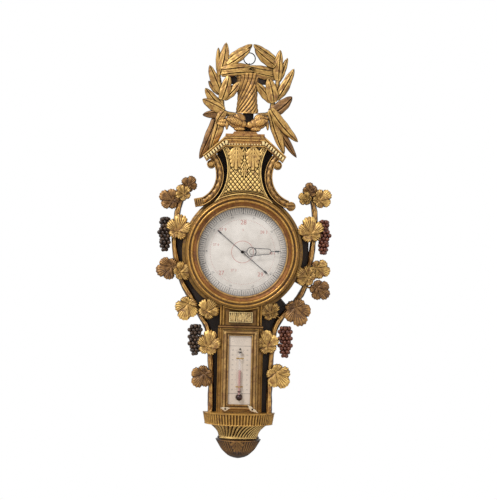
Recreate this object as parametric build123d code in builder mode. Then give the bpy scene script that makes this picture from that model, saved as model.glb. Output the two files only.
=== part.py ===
"""Carved giltwood wall barometer with an aneroid movement and a spirit thermometer.

Millimetres, +Z up, +X to the viewer's right, the front faces -Y. The wall is the plane Y = 0
and the origin is where the dial's axis meets it. A "depth" is a distance in front of the wall.
"""

from build123d import *
import math
import os

os.makedirs("parts", exist_ok=True)

# --- Fits ---------------------------------------------------------------------------------------
glue_gap = 0.05          # round seats of glued pieces
fit_gap = 0.05           # radial clearance of turning shafts
drop_in_gap = 0.2        # glass, bead and dial in their rebates
carving_gap = 0.3        # between carved pieces that lie beside each other
crumb_volume = 5.0       # mm3, below which a solid is a crumb of a cut

# --- Backboard and drum ---------------------------------------------------------------------------
board_thickness = 8.0
ear_reach = 158.0
ear_half_height = 46.0
neck_board_half_width = 66.0
drum_radius = 144.0
drum_shoulder = 9.5
drum_shoulder_depth = 28.0
drum_front_depth = 46.0
drum_bore_radius = 108.0
dial_rebate_radius = 112.5
dial_rebate_depth = 11.0
access_radius = 104.0
cover_radius = 112.0
cover_thickness = 5.0

# --- Bezel, glass and dial ------------------------------------------------------------------------
bezel_radius = 131.0
bezel_width = 26.0
bezel_height = 17.0
bezel_lip = 4.0
glass_thickness = 3.0
glass_setback = 6.0
dial_thickness = 1.2
dial_screw_count = 4

# --- Neck, cornice and scrolls --------------------------------------------------------------------
neck_depth = 42.0
neck_waist = 41.0
neck_waist_share = 0.452     # of the neck's height
neck_top_half_width = 57.0
neck_foot_half_width = 61.0
neck_foot_height = 128.0
cornice_base_height = 250.0
cornice_band = 24.0
cornice_half_width = 47.0
cornice_reach = 99.0
cornice_drop = 46.0
cornice_depth = 50.0
wing_end_slant = 8.0
wing_end_drop = 13.5
dentil_width = 4.2
dentil_height = 8.0
dentil_rise = 4.6
wing_dentil_count = 8
middle_dentil_size = 3.0
middle_dentil_count = 14
cap_thickness = 6.0
cap_overhang = 4.0
scroll_width = 19.0
scroll_depth = 38.0
scroll_top_reach = 73.0
scroll_top_drop = 26.0       # below the cornice
scroll_waist_gap = 17.0      # from the neck's waist to the middle of the scroll
scroll_waist_drop = 7.0
scroll_foot = (106.0, 115.0)
volute_reach = 79.5
volute_drop = 42.5
volute_radius = 10.0
roll_centre = (113.0, 111.0)
roll_radius = 11.0

# --- Trophy: doves, quiver and wreath -------------------------------------------------------------
plinth_half_width = 29.0
plinth_height = 6.0
plinth_depth = 32.0
dove_thickness = 17.0
dove_chamfer = 4.0
quiver_half_width = 27.0
quiver_waist = 24.0
quiver_half_depth = 18.0
quiver_foot_rise = 51.0      # above the cornice cap
quiver_height = 96.0
quiver_waist_share = 0.385
quiver_lip = 11.0
crossbar_height = 12.0
crossbar_thickness = 6.0
wreath_centre = 6.0
wreath_stem_width = 12.5
wreath_stem_thickness = 14.0
wreath_leaf_thickness = 9.0
leaf_level_start = 2.0
leaf_level_step = 5.0
leaf_bevel = 20.0

# --- Hanging ring ---------------------------------------------------------------------------------
tongue_half_width = 13.0
tongue_thickness = 12.0
tongue_rise = 166.0          # above the cornice cap
ring_mean_radius = 13.75
ring_wire = 2.5
staple_wire = 1.8

# --- Thermometer case -----------------------------------------------------------------------------
box_half_width = 54.5
box_top_half_width = 50.0
box_top_lap = 18.0           # the box reaches up behind the drum
box_step_drop = 40.0         # below the foot of the drum
box_height = 199.0
box_depth = 36.0
box_top_depth = 43.0
tablet_half_width = 28.5
tablet_height = 26.5
tablet_drop = 11.0           # its middle, below the foot of the drum
tablet_thickness = 3.5
ledge_height = 8.0
ledge_depth = 49.0
ledge_half_width = 53.0
frame_half_width = 42.0
frame_top_drop = 2.0
frame_foot_rise = 5.0
frame_thickness = 9.0
frame_bevel = 3.0
plate_half_width = 26.3
plate_top_drop = 13.7        # inside the frame
plate_foot_rise = 15.6
plate_lap = 2.5
plate_thickness = 1.5
tube_radius = 3.3
tube_wall = 2.2
tube_top_drop = 36.3         # below the top of the plate
bulb_radius = 7.3
bulb_wall = 0.8
bulb_rise = 16.8             # above the foot of the plate
spirit_drop = 43.0           # below the top of the tube
clip_wire = 0.9
clip_width = 2.0

# --- Console --------------------------------------------------------------------------------------
shelf_half_width = 86.3
shelf_foot_half_width = 82.0
shelf_projection = 62.0
shelf_height = 28.3
gadroon_half_width = 70.0
gadroon_foot_half_width = 47.0
gadroon_projection = 50.0
gadroon_height = 30.0
fillet_height = 4.0
pendant_radius = 55.0
pendant_height = 49.0
pendant_top_radius = 49.5
# the turned outline below the rim: share of the radius, share of the height
pendant_outline = [(1, 0.07), (0.91, 0.26), (0.70, 0.61), (0.36, 0.89), (0, 1)]

# --- Vines ----------------------------------------------------------------------------------------
vine_stem_width = 16.0
vine_stem_thickness = 17.0
vine_leaf_thickness = 10.0
leaf_stalk_width = 5.0
leaf_reach_share = 0.47
leaf_lobe_share = 0.065
leaf_lobes = 5
grape_radius = 5.2
grape_row_pitch = 1.55       # in radii
grape_place_pitch = 1.75
grape_dome = 4.0
grape_taper = 20.0
grape_core_depth = 21.0
grape_front_depth = 29.0

# --- Movement -------------------------------------------------------------------------------------
base_plate_radius = 86.0
plate_gauge = 2.5
capsule_radius = 28.0
capsule_height = 10.0
capsule_drop = 38.0
capsule_foot_height = 1.0
stud_radius = 2.0
stud_head_radius = 4.0
stud_socket = 3.2
pillar_radius = 3.0
pillar_places = ((0.0, 50.0), (35.4, -35.4), (-35.4, -35.4))
top_plate_radius = 57.0
top_plate_depth = 28.0
top_plate_gauge = 2.0
bridge_plate_depth = 17.5
bridge_plate_gauge = 1.5
arbor_radius = 1.25
pivot_radius = 1.0
gear_module = 0.8
pinion_teeth = 10
wheel_teeth = 100
sector_teeth = 13
sector_angle = 163.0
gear_depth = 21.5
gear_gauge = 2.0
tooth_share = 0.78
tooth_addendum = 0.62
tooth_dedendum = 1.0
sector_tail = 12.0
rocker_depth = 13.0
rocker_radius = 1.5
rocker_right_end = 28.0
rocker_arm = 8.0
lever_gauge = 1.5
lever_offset = 22.0
spring_gauge = 1.2
spring_half_width = 9.0
spring_bend_radius = 4.2
spring_end_rise = 6.0
hairspring_gauge = 0.35
hairspring_turns = 4
hairspring_pitch = 1.6

# --- Hands ----------------------------------------------------------------------------------------
hand_length = 78.0
hand_gauge = 0.8
hand_hub_radius = 3.8
hand_bearing = 50.0
crescent_radius = 8.5
set_hand_bearing = 2.0
set_hand_length = 90.0
set_hand_gauge = 1.0
knob_radius = 3.8
knob_height = 8.0
knob_post_radius = 2.0

# --- Places worked out from the sizes above -------------------------------------------------------
drum_shoulder_radius = drum_radius - drum_shoulder
bezel_opening_radius = bezel_radius - bezel_width
glass_front_depth = drum_front_depth + glass_setback
glass_back_depth = glass_front_depth - glass_thickness
glass_rebate_radius = bezel_opening_radius + bezel_lip
bezel_front_depth = drum_front_depth + bezel_height
dial_back_depth = drum_front_depth - dial_rebate_depth
dial_front_depth = dial_back_depth + dial_thickness
base_front_depth = cover_thickness + plate_gauge
pinion_pitch_radius = gear_module * pinion_teeth / 2
sector_pitch_radius = gear_module * wheel_teeth / 2
gear_distance = pinion_pitch_radius + sector_pitch_radius
sector_x = gear_distance * math.cos(math.radians(sector_angle))
sector_z = gear_distance * math.sin(math.radians(sector_angle))
cornice_top_height = cornice_base_height + cornice_band
cap_top_height = cornice_top_height + cap_thickness
plinth_top_height = cap_top_height + plinth_height
neck_waist_height = neck_foot_height + neck_waist_share * (cornice_base_height - neck_foot_height)
scroll_top = (scroll_top_reach, cornice_base_height - scroll_top_drop)
scroll_waist = (neck_waist + scroll_waist_gap, neck_waist_height - scroll_waist_drop)
volute_centre = (volute_reach, cornice_base_height - volute_drop)
quiver_foot_height = cap_top_height + quiver_foot_rise
quiver_top_height = quiver_foot_height + quiver_height
crossbar_centre_height = quiver_top_height - crossbar_height / 2
tongue_top_height = cap_top_height + tongue_rise
box_top_height = box_top_lap - drum_radius
box_step_height = -drum_radius - box_step_drop
box_foot_height = box_step_height - box_height
tablet_centre_height = -drum_radius - tablet_drop
frame_top_height = box_step_height - frame_top_drop
frame_foot_height = box_foot_height + frame_foot_rise
plate_top_height = frame_top_height - plate_top_drop
plate_foot_height = frame_foot_height + plate_foot_rise
tube_top_height = plate_top_height - tube_top_drop
bulb_height = plate_foot_height + bulb_rise
spirit_top_height = tube_top_height - spirit_drop
tube_depth = box_depth + plate_thickness + tube_radius + drop_in_gap
shelf_foot_height = box_foot_height - shelf_height
gadroon_foot_height = shelf_foot_height - gadroon_height
pendant_top_height = gadroon_foot_height - fillet_height
ring_pivot_depth = tongue_thickness / 2
ring_pivot_height = tongue_top_height + 1.5 * ring_wire

# Carved routes and leaves, (x, z) for the right side and for the left side
vine_routes = {
    "left": [(-68, box_foot_height), (-68, -330), (-70, -268), (-78, -190), (-94, -158), (-119, -114),
             (-142, -74), (-159, -15), (-164, 35), (-159, 84), (-152, 115), (-144, 138)],
    "right": [(72, box_foot_height), (72, -330), (74, -256), (81, -186), (99, -152), (132, -113),
              (150, -82), (162, -25), (168, 25), (171, 85), (167, 115), (159, 140)],
}
# each leaf: centre x, centre z, size, direction of its tip (degrees, 90 is up)
vine_leaves = {
    "left": [(-132, 157, 38, 60), (-144, 136, 38, 120), (-174, 121, 48, 150), (-153, 52, 56, 80),
             (-180, -42, 52, 200), (-143, -50, 44, 30), (-129, -134, 54, 250), (-78, -139, 50, 60),
             (-76, -222, 56, 80), (-88, -297, 52, 230)],
    "right": [(158, 149, 34, 100), (148, 130, 32, 150), (185, 130, 45, 40), (162, 53, 58, 100),
              (185, -36, 45, -20), (154, -55, 48, 150), (186, -85, 48, -40), (133, -137, 62, -70),
              (69, -140, 46, 110), (64, -218, 54, 100), (91, -292, 57, -50)],
}
# each bunch: top centre x, top z, kind
grape_bunches = {
    "left": [(-186, 80, "slender"), (-108, -175, "full")],
    "right": [(194, 81, "slender"), (107, -175, "full")],
}
bunch_row_counts = {
    "slender": (2, 3, 2, 3, 4, 3, 2, 3, 2, 1),
    "full": (3, 4, 3, 4, 3, 4, 3, 2, 1),
}
# heights in the wreath are taken above the cornice cap
wreath_routes = {
    "left": [(-24, 47), (-52, 54), (-58, 82), (-63, 114), (-66, 144), (-48, 168), (-26, 192)],
    "right": [(30, 47), (58, 53), (64, 78), (73, 114), (74, 137), (66, 164), (46, 188)],
}
# each leaf: base x, base z, tip x, tip z, width, level (0 lies lowest)
wreath_leaves = {
    "left": [(-64, 141, -50, 219, 20, 1), (-66, 144, -69, 207, 12, 0), (-62, 100, -89, 164, 18, 1),
             (-63, 96, -91, 127, 12, 0), (-54, 56, -98, 109, 20, 1), (-54, 56, -104, 82, 20, 2),
             (-44, 50, -103, 45, 18, 1), (-55, 86, -40, 139, 18, 2), (-54, 86, -15, 122, 14, 1),
             (-41, 181, 12, 216, 18, 1), (-46, 166, 8, 205, 18, 2), (-60, 153, 12, 162, 19, 2),
             (-60, 142, 18, 150, 15, 2)],
    "right": [(74, 131, 79, 204, 19, 1), (77, 130, 97, 186, 13, 0), (73, 86, 113, 160, 18, 1),
              (71, 86, 106, 127, 13, 0), (58, 50, 110, 93, 24, 1), (65, 80, 52, 135, 20, 2),
              (62, 82, 24, 120, 15, 1), (66, 180, 14.8, 216, 18, 1), (67, 164, 18, 205, 18, 2),
              (70, 152, 2, 163, 18, 0), (71, 137, -2, 151, 15, 0)],
}
drooping_leaves = {
    "left": [(-55, 58, -83, -42, 20, 1), (-62, 54, -108, -60, 23, 0), (-50, 55, -70, 26, 18, 2)],
    "right": [(59, 60, 94, -44, 20, 1), (60, 62, 126, -15, 19, 2), (59, 66, 124, -52, 18, 0)],
}


# the board's webs behind the gaps between the drum and the vines; each also runs to the dial's axis
right_web_foot = tuple((low + high) / 2
                       for low, high in zip(vine_routes["right"][4], vine_routes["right"][5]))
board_webs = [
    [(-ear_reach, -ear_half_height), *reversed(vine_routes["left"][2:7]),
     (-box_half_width, box_step_height)],
    [(box_half_width, box_step_height), *vine_routes["right"][2:5], right_web_foot],
    [vine_routes["right"][6], (ear_reach, -ear_half_height)],
]


def front(depth):
    """The plane that faces the viewer at a depth: local x is X and local y is Z."""
    return Plane.XZ.offset(depth)


def save(piece, name):
    """Label a finished piece and write it as its own STEP file."""
    piece.part.label = name
    export_step(piece.part, f"parts/{name}.step")


def turned(profile):
    """A solid turned about the dial's axis from (radius, depth) corners."""
    with BuildPart() as body:
        with BuildSketch(Plane.XY):
            with BuildLine():
                Polyline(*[(radius, -depth) for radius, depth in profile], close=True)
            make_face()
        revolve(axis=Axis.Y)
    return body.part


def cylinder(x, z, radius, start_depth, end_depth):
    """A round pin along the depth."""
    with BuildPart() as body:
        with BuildSketch(front(start_depth)):
            with Locations((x, z)):
                Circle(radius)
        extrude(amount=end_depth - start_depth)
    return body.part


def block(x, z, width, height, start_depth, end_depth):
    """A rectangular block centred at (x, z) between two depths."""
    with BuildPart() as body:
        with BuildSketch(front(start_depth)):
            with Locations((x, z)):
                Rectangle(width, height)
        extrude(amount=end_depth - start_depth)
    return body.part


def drum_envelope(gap):
    """The drum's outside, grown by a gap, to cut the pieces that seat against it."""
    shoulder = drum_radius - drum_shoulder_radius
    return turned([
        (0, board_thickness), (drum_radius + gap, board_thickness),
        (drum_radius + gap, drum_shoulder_depth + gap),
        (drum_shoulder_radius + gap, drum_shoulder_depth + shoulder + gap),
        (drum_shoulder_radius + gap, bezel_front_depth), (0, bezel_front_depth),
    ])


def band(points, width, bend):
    """A flat band of even width along a route with rounded corners."""
    with BuildSketch() as shape:
        with BuildLine():
            FilletPolyline(*points, radius=bend)
        trace(line_width=width)
    return shape.sketch


def arc_band(start, middle, end, width):
    """A flat band of even width along one arc."""
    with BuildSketch() as shape:
        with BuildLine():
            ThreePointArc(start, middle, end)
        trace(line_width=width)
    return shape.sketch


def crown(points):
    """Points given above the cornice cap, set at their height on the model."""
    return [(x, cap_top_height + rise) for x, rise in points]


def drop_crumbs(builder):
    """Take away the crumbs that cuts against neighbours left beside a builder's solids."""
    for crumb in builder.solids().filter_by(lambda body: body.volume < crumb_volume):
        add(crumb, mode=Mode.SUBTRACT)


def mirrored(point, side):
    """A point of the right side, or its mirror image on the left."""
    return (side * point[0], point[1])


def laurel_leaf(base_x, base_z, tip_x, tip_z, width):
    """The outline of a laurel leaf between its base and its tip."""
    length = math.hypot(tip_x - base_x, tip_z - base_z)
    across = ((base_z - tip_z) / length, (tip_x - base_x) / length)
    middle = (base_x + 0.45 * (tip_x - base_x), base_z + 0.45 * (tip_z - base_z))
    with BuildSketch() as shape:
        with BuildLine():
            for side in (1, -1):
                bulge = side * width / 2
                ThreePointArc((base_x, base_z),
                              (middle[0] + bulge * across[0], middle[1] + bulge * across[1]),
                              (tip_x, tip_z))
        make_face()
    return shape.sketch


def lobed_leaf(centre_x, centre_z, size, direction):
    """The rounded five-lobed outline of a vine leaf whose tip points in a direction."""
    corner_count = 6 * leaf_lobes
    outline = []
    for corner in range(corner_count):
        angle = 2 * math.pi * corner / corner_count
        reach = size * (leaf_reach_share + leaf_lobe_share * math.cos(leaf_lobes * angle))
        turn = math.radians(direction) + angle
        outline.append((centre_x + reach * math.cos(turn), centre_z + reach * math.sin(turn)))
    with BuildSketch() as shape:
        with BuildLine():
            Polyline(*outline, close=True)
        make_face()
    return shape.sketch


def nearest_on_route(route, x, z):
    """The point of a route's straight runs that lies nearest to (x, z)."""
    found = []
    for (start_x, start_z), (end_x, end_z) in zip(route, route[1:]):
        run_x = end_x - start_x
        run_z = end_z - start_z
        share = ((x - start_x) * run_x + (z - start_z) * run_z) / (run_x ** 2 + run_z ** 2)
        share = min(max(share, 0), 1)
        found.append((start_x + share * run_x, start_z + share * run_z))
    return min(found, key=lambda place: math.hypot(place[0] - x, place[1] - z))


def leaf_stalk(route, x, z):
    """A straight stalk from a leaf's middle to the nearest point of its stem."""
    root_x, root_z = nearest_on_route(route, x, z)
    with BuildSketch() as shape:
        with Locations(((x + root_x) / 2, (z + root_z) / 2)):
            Rectangle(math.hypot(x - root_x, z - root_z) + leaf_stalk_width, leaf_stalk_width,
                      rotation=math.degrees(math.atan2(z - root_z, x - root_x)))
    return shape.sketch


def gear_tooth(pitch_radius, angle):
    """One straight-sided tooth that stands on a rim about the origin."""
    half = tooth_share * math.pi * gear_module / 4
    root = pitch_radius - tooth_dedendum * gear_module
    tip = pitch_radius + tooth_addendum * gear_module
    flank = [(root - 0.3, 1.45 * half), (pitch_radius, half), (tip, 0.42 * half)]
    corners = flank + [(radius, -width) for radius, width in reversed(flank)]
    turn = math.radians(angle)
    with BuildSketch() as shape:
        with BuildLine():
            Polyline(*[(radius * math.cos(turn) - width * math.sin(turn),
                        radius * math.sin(turn) + width * math.cos(turn))
                       for radius, width in corners], close=True)
        make_face()
    return shape.sketch


# ==================================================================================================
# Case
# ==================================================================================================

staple_span = ring_wire + staple_wire + 2.7
staple_crown_height = ring_pivot_height + ring_wire / 2 + 0.25 + staple_wire / 2 - staple_span / 2
with BuildPart() as hanger_staple:
    with BuildLine(Plane.YZ.offset(wreath_centre)) as staple_route:
        Line((-ring_pivot_depth + staple_span / 2, tongue_top_height - 9),
             (-ring_pivot_depth + staple_span / 2, staple_crown_height))
        ThreePointArc((-ring_pivot_depth + staple_span / 2, staple_crown_height),
                      (-ring_pivot_depth, staple_crown_height + staple_span / 2),
                      (-ring_pivot_depth - staple_span / 2, staple_crown_height))
        Line((-ring_pivot_depth - staple_span / 2, staple_crown_height),
             (-ring_pivot_depth - staple_span / 2, tongue_top_height - 9))
    with BuildSketch(Plane(origin=staple_route.line @ 0, z_dir=staple_route.line % 0)):
        Circle(staple_wire / 2)
    sweep()
save(hanger_staple, "hanger_staple")

with BuildPart() as hanging_ring:
    with BuildSketch(Plane.YZ.offset(wreath_centre)):
        with Locations((-ring_pivot_depth, ring_pivot_height)):
            RegularPolygon(ring_wire / 2, 8)
    revolve(axis=Axis((wreath_centre, 0, ring_pivot_height + ring_mean_radius), (0, 1, 0)))
save(hanging_ring, "hanging_ring")

with BuildPart() as backboard:
    with BuildSketch(front(0)):
        Circle(drum_radius)
        with Locations((0, (box_top_height + box_foot_height) / 2)):
            Rectangle(2 * vine_routes["right"][0][0] - 6, box_top_height - box_foot_height)
        with Locations((0, (box_foot_height + pendant_top_height - 20) / 2)):
            Rectangle(1.5 * gadroon_foot_half_width, box_foot_height - pendant_top_height + 20)
        with Locations((0, (neck_foot_height + cornice_base_height) / 2)):
            Rectangle(2 * neck_board_half_width, cornice_base_height - neck_foot_height)
        with Locations((0, (cornice_base_height + cornice_top_height) / 2)):
            Rectangle(2 * neck_waist, cornice_band)
        Rectangle(2 * ear_reach, 2 * ear_half_height)
        for web in board_webs:
            with BuildLine():
                Polyline((0, 0), *web, close=True)
            make_face()
        for route in vine_routes.values():
            add(band(route, vine_stem_width - 4, 26))
        for side in (-1, 1):
            add(arc_band(mirrored(scroll_top, side), mirrored(scroll_waist, side),
                         mirrored(scroll_foot, side), scroll_width - 6))
    extrude(amount=board_thickness)
    with BuildSketch(front(0)):
        with Locations((wreath_centre, (cornice_top_height + tongue_top_height) / 2)):
            Rectangle(2 * tongue_half_width, tongue_top_height - cornice_top_height)
    extrude(amount=tongue_thickness)
    add(cylinder(0, 0, access_radius, 0, board_thickness), mode=Mode.SUBTRACT)
    add(cylinder(0, 0, cover_radius + fit_gap, 0, cover_thickness), mode=Mode.SUBTRACT)
    add(hanger_staple.part, mode=Mode.SUBTRACT)
save(backboard, "backboard")

with BuildPart() as drum_case:
    add(turned([
        (drum_bore_radius, board_thickness), (drum_radius, board_thickness),
        (drum_radius, drum_shoulder_depth),
        (drum_shoulder_radius, drum_shoulder_depth + drum_radius - drum_shoulder_radius),
        (drum_shoulder_radius, drum_front_depth), (dial_rebate_radius, drum_front_depth),
        (dial_rebate_radius, dial_back_depth), (drum_bore_radius, dial_back_depth),
    ]))
save(drum_case, "drum_case")

with BuildPart() as bezel_moulding:
    with BuildSketch(Plane.XY):
        with BuildLine():
            Polyline((glass_rebate_radius, -drum_front_depth), (bezel_radius, -drum_front_depth),
                     (bezel_radius, 5 - bezel_front_depth))
            ThreePointArc((bezel_radius, 5 - bezel_front_depth),
                          (bezel_radius - 2.5, 2.5 - bezel_front_depth),
                          (bezel_radius - 5, 5 - bezel_front_depth))
            Polyline((bezel_radius - 5, 5 - bezel_front_depth),
                     (bezel_radius - 8, 6.5 - bezel_front_depth),
                     (bezel_radius - 8.5, 2.5 - bezel_front_depth))
            ThreePointArc((bezel_radius - 8.5, 2.5 - bezel_front_depth),
                          (bezel_radius - 11, -bezel_front_depth),
                          (bezel_radius - 13.5, 2.5 - bezel_front_depth))
            ThreePointArc((bezel_radius - 13.5, 2.5 - bezel_front_depth),
                          (bezel_opening_radius + 4, 6.5 - bezel_front_depth),
                          (bezel_opening_radius, -glass_front_depth - 1.2))
            Polyline((bezel_opening_radius, -glass_front_depth - 1.2),
                     (bezel_opening_radius, -glass_front_depth),
                     (glass_rebate_radius, -glass_front_depth),
                     (glass_rebate_radius, -drum_front_depth))
        make_face()
    revolve(axis=Axis.Y)
save(bezel_moulding, "bezel_moulding")

with BuildPart() as dial_glass:
    add(cylinder(0, 0, glass_rebate_radius - drop_in_gap, glass_back_depth, glass_front_depth))
    add(cylinder(0, 0, knob_post_radius + fit_gap, glass_back_depth, glass_front_depth),
        mode=Mode.SUBTRACT)
save(dial_glass, "dial_glass")

with BuildPart() as glass_bead:
    add(turned([
        (bezel_opening_radius, drum_front_depth + drop_in_gap),
        (glass_rebate_radius - drop_in_gap, drum_front_depth + drop_in_gap),
        (glass_rebate_radius - drop_in_gap, glass_back_depth),
        (bezel_opening_radius, glass_back_depth),
    ]))
save(glass_bead, "glass_bead")

dial_screw_circle = (drum_bore_radius + dial_rebate_radius) / 2
with BuildPart() as dial_plate:
    add(cylinder(0, 0, dial_rebate_radius - drop_in_gap, dial_back_depth, dial_front_depth))
    add(cylinder(0, 0, 2 * arbor_radius, dial_back_depth, dial_front_depth), mode=Mode.SUBTRACT)
    with BuildSketch(front(dial_back_depth)):
        with PolarLocations(dial_screw_circle, dial_screw_count, 45):
            Circle(1.0 + fit_gap)
    extrude(amount=dial_thickness, mode=Mode.SUBTRACT)
save(dial_plate, "dial_plate")

with BuildPart() as dial_screws:
    with BuildSketch(front(dial_front_depth)):
        with PolarLocations(dial_screw_circle, dial_screw_count, 45):
            Circle(1.9)
    extrude(amount=1.2)
    with BuildSketch(front(dial_back_depth)):
        with PolarLocations(dial_screw_circle, dial_screw_count, 45):
            Circle(1.0)
    extrude(amount=dial_thickness)
save(dial_screws, "dial_screws")

cover_screw_circle = (access_radius + cover_radius) / 2
with BuildPart() as back_cover:
    add(cylinder(0, 0, cover_radius, 0, cover_thickness))
    add(cylinder(0, -capsule_drop, 6, 0, cover_thickness), mode=Mode.SUBTRACT)
    with BuildSketch(front(0)):
        with PolarLocations(cover_screw_circle, 4, 45):
            Circle(3.0)
    extrude(amount=2.0, mode=Mode.SUBTRACT)
    with BuildSketch(front(0)):
        with PolarLocations(cover_screw_circle, 4, 45):
            Circle(1.4 + fit_gap)
    extrude(amount=cover_thickness, mode=Mode.SUBTRACT)
save(back_cover, "back_cover")

with BuildPart() as back_cover_screws:
    with BuildSketch(front(0.4)):
        with PolarLocations(cover_screw_circle, 4, 45):
            Circle(2.7)
    extrude(amount=1.6)
    with BuildSketch(front(2.0)):
        with PolarLocations(cover_screw_circle, 4, 45):
            Circle(1.4)
    extrude(amount=cover_thickness - 2.0)
save(back_cover_screws, "back_cover_screws")

with BuildPart() as neck_panel:
    with BuildSketch(front(board_thickness)):
        with BuildLine():
            Line((-neck_top_half_width, cornice_base_height), (neck_top_half_width, cornice_base_height))
            ThreePointArc((neck_top_half_width, cornice_base_height), (neck_waist, neck_waist_height),
                          (neck_foot_half_width, neck_foot_height))
            Line((neck_foot_half_width, neck_foot_height), (-neck_foot_half_width, neck_foot_height))
            ThreePointArc((-neck_foot_half_width, neck_foot_height), (-neck_waist, neck_waist_height),
                          (-neck_top_half_width, cornice_base_height))
        make_face()
    extrude(amount=neck_depth - board_thickness)
    add(drum_envelope(glue_gap), mode=Mode.SUBTRACT)
save(neck_panel, "neck_panel")



def cornice_profile():
    """The outline of the cornice with its two sloping wings."""
    wing_top = cornice_top_height - cornice_drop
    with BuildSketch() as shape:
        with BuildLine():
            Polyline((-cornice_half_width, cornice_top_height),
                     (cornice_half_width, cornice_top_height),
                     (cornice_reach, wing_top),
                     (cornice_reach - wing_end_slant, wing_top - wing_end_drop),
                     (cornice_half_width, cornice_base_height),
                     (-cornice_half_width, cornice_base_height),
                     (wing_end_slant - cornice_reach, wing_top - wing_end_drop),
                     (-cornice_reach, wing_top), close=True)
        make_face()
    return shape.sketch


neck_scrolls = {}
for side, hand in ((-1, "left"), (1, "right")):
    with BuildPart() as neck_scroll:
        with BuildSketch(front(board_thickness)):
            add(arc_band(mirrored(scroll_top, side), mirrored(scroll_waist, side),
                         mirrored(scroll_foot, side), scroll_width))
            with Locations(mirrored(volute_centre, side)):
                Circle(volute_radius)
            with Locations(mirrored(roll_centre, side)):
                Circle(roll_radius)
        extrude(amount=scroll_depth - board_thickness)
        with BuildSketch(front(scroll_depth)):
            with Locations(mirrored(volute_centre, side)):
                Circle(volute_radius * 0.7)
            with Locations(mirrored(roll_centre, side)):
                Circle(roll_radius * 0.7)
        extrude(amount=3, taper=25)
        add(drum_envelope(glue_gap), mode=Mode.SUBTRACT)
        add(neck_panel.part, mode=Mode.SUBTRACT)
        with BuildSketch(front(board_thickness)):
            add(cornice_profile())
        extrude(amount=scroll_depth, mode=Mode.SUBTRACT)
    neck_scrolls[hand] = neck_scroll
    save(neck_scroll, f"neck_scroll_{hand}")

wing_slope = math.degrees(math.atan2(cornice_drop, cornice_reach - cornice_half_width))
with BuildPart() as cornice:
    with BuildSketch(front(board_thickness)):
        add(cornice_profile())
    extrude(amount=cornice_depth - board_thickness - dentil_rise)
    with BuildSketch(front(cornice_depth - dentil_rise)):
        with Locations((0, cornice_top_height - cornice_band / 4)):
            Rectangle(2 * cornice_half_width, cornice_band / 2)
        for side in (-1, 1):
            for step in range(wing_dentil_count):
                along = (step + 0.5) / wing_dentil_count
                run = along * (cornice_reach - cornice_half_width - wing_end_slant + 2)
                with Locations((side * (cornice_half_width + 1 + run),
                                cornice_base_height + dentil_height
                                - along * (cornice_drop - dentil_height))):
                    Rectangle(dentil_width, dentil_height, rotation=-side * wing_slope)
        with GridLocations(2 * cornice_half_width / middle_dentil_count, 1, middle_dentil_count, 1):
            with Locations((0, cornice_base_height + 1.5 * middle_dentil_size)):
                Rectangle(middle_dentil_size, middle_dentil_size)
    extrude(amount=dentil_rise)
    add(backboard.part, mode=Mode.SUBTRACT)
    add(neck_panel.part, mode=Mode.SUBTRACT)
save(cornice, "cornice")

with BuildPart() as cornice_cap:
    add(block(0, cornice_top_height + cap_thickness / 2, 2 * cornice_half_width, cap_thickness,
              board_thickness, cornice_depth + cap_overhang))
    add(backboard.part, mode=Mode.SUBTRACT)
    fillet(cornice_cap.edges().filter_by(Axis.X).group_by(Axis.Y)[0], radius=2.0)
save(cornice_cap, "cornice_cap")

# ==================================================================================================
# Trophy
# ==================================================================================================

with BuildPart() as dove_plinth:
    add(block(0, cap_top_height + plinth_height / 2, 2 * plinth_half_width, plinth_height,
              tongue_thickness, tongue_thickness + plinth_depth))
    chamfer(dove_plinth.edges().filter_by(Axis.X).group_by(Axis.Y)[0], length=2.5)
save(dove_plinth, "dove_plinth")

# half of the pair: outline from the drooping tail, over the back to the lowered head and the breast
dove_outline = [(46, 4), (50.5, 12), (51, 26), (47, 37), (38, 41), (28, 40), (20, 33), (13, 29),
                (6, 27.5), (1.5, 23), (0.4, 15), (4, 8), (8, 0), (32, 0), (38, 6), (42, 17), (44, 9)]
dove_middle = wreath_centre - 0.5
dove_back_depth = tongue_thickness + 12
doves = {}
for side, hand in ((-1, "left"), (1, "right")):
    with BuildPart() as dove:
        with BuildSketch(front(dove_back_depth)):
            with BuildLine():
                Polyline(*[(dove_middle + side * x, plinth_top_height + z) for x, z in dove_outline],
                         close=True)
            make_face()
        extrude(amount=dove_thickness)
        chamfer(dove.faces().sort_by(Axis.Y)[0].edges(), length=dove_chamfer * 0.4)
        with BuildSketch(front(dove_back_depth + dove_thickness)):
            add(laurel_leaf(dove_middle + side * 10, plinth_top_height + 18,
                            dove_middle + side * 46, plinth_top_height + 30, 15))
        extrude(amount=dove_chamfer, taper=leaf_bevel)
    doves[hand] = dove
    save(dove, f"dove_{hand}")

with BuildPart() as wreath_crossbar:
    add(block((wreath_routes["left"][4][0] + wreath_routes["right"][4][0]) / 2, crossbar_centre_height,
              wreath_routes["right"][4][0] - wreath_routes["left"][4][0], crossbar_height,
              tongue_thickness, tongue_thickness + crossbar_thickness))
save(wreath_crossbar, "wreath_crossbar")

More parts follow.
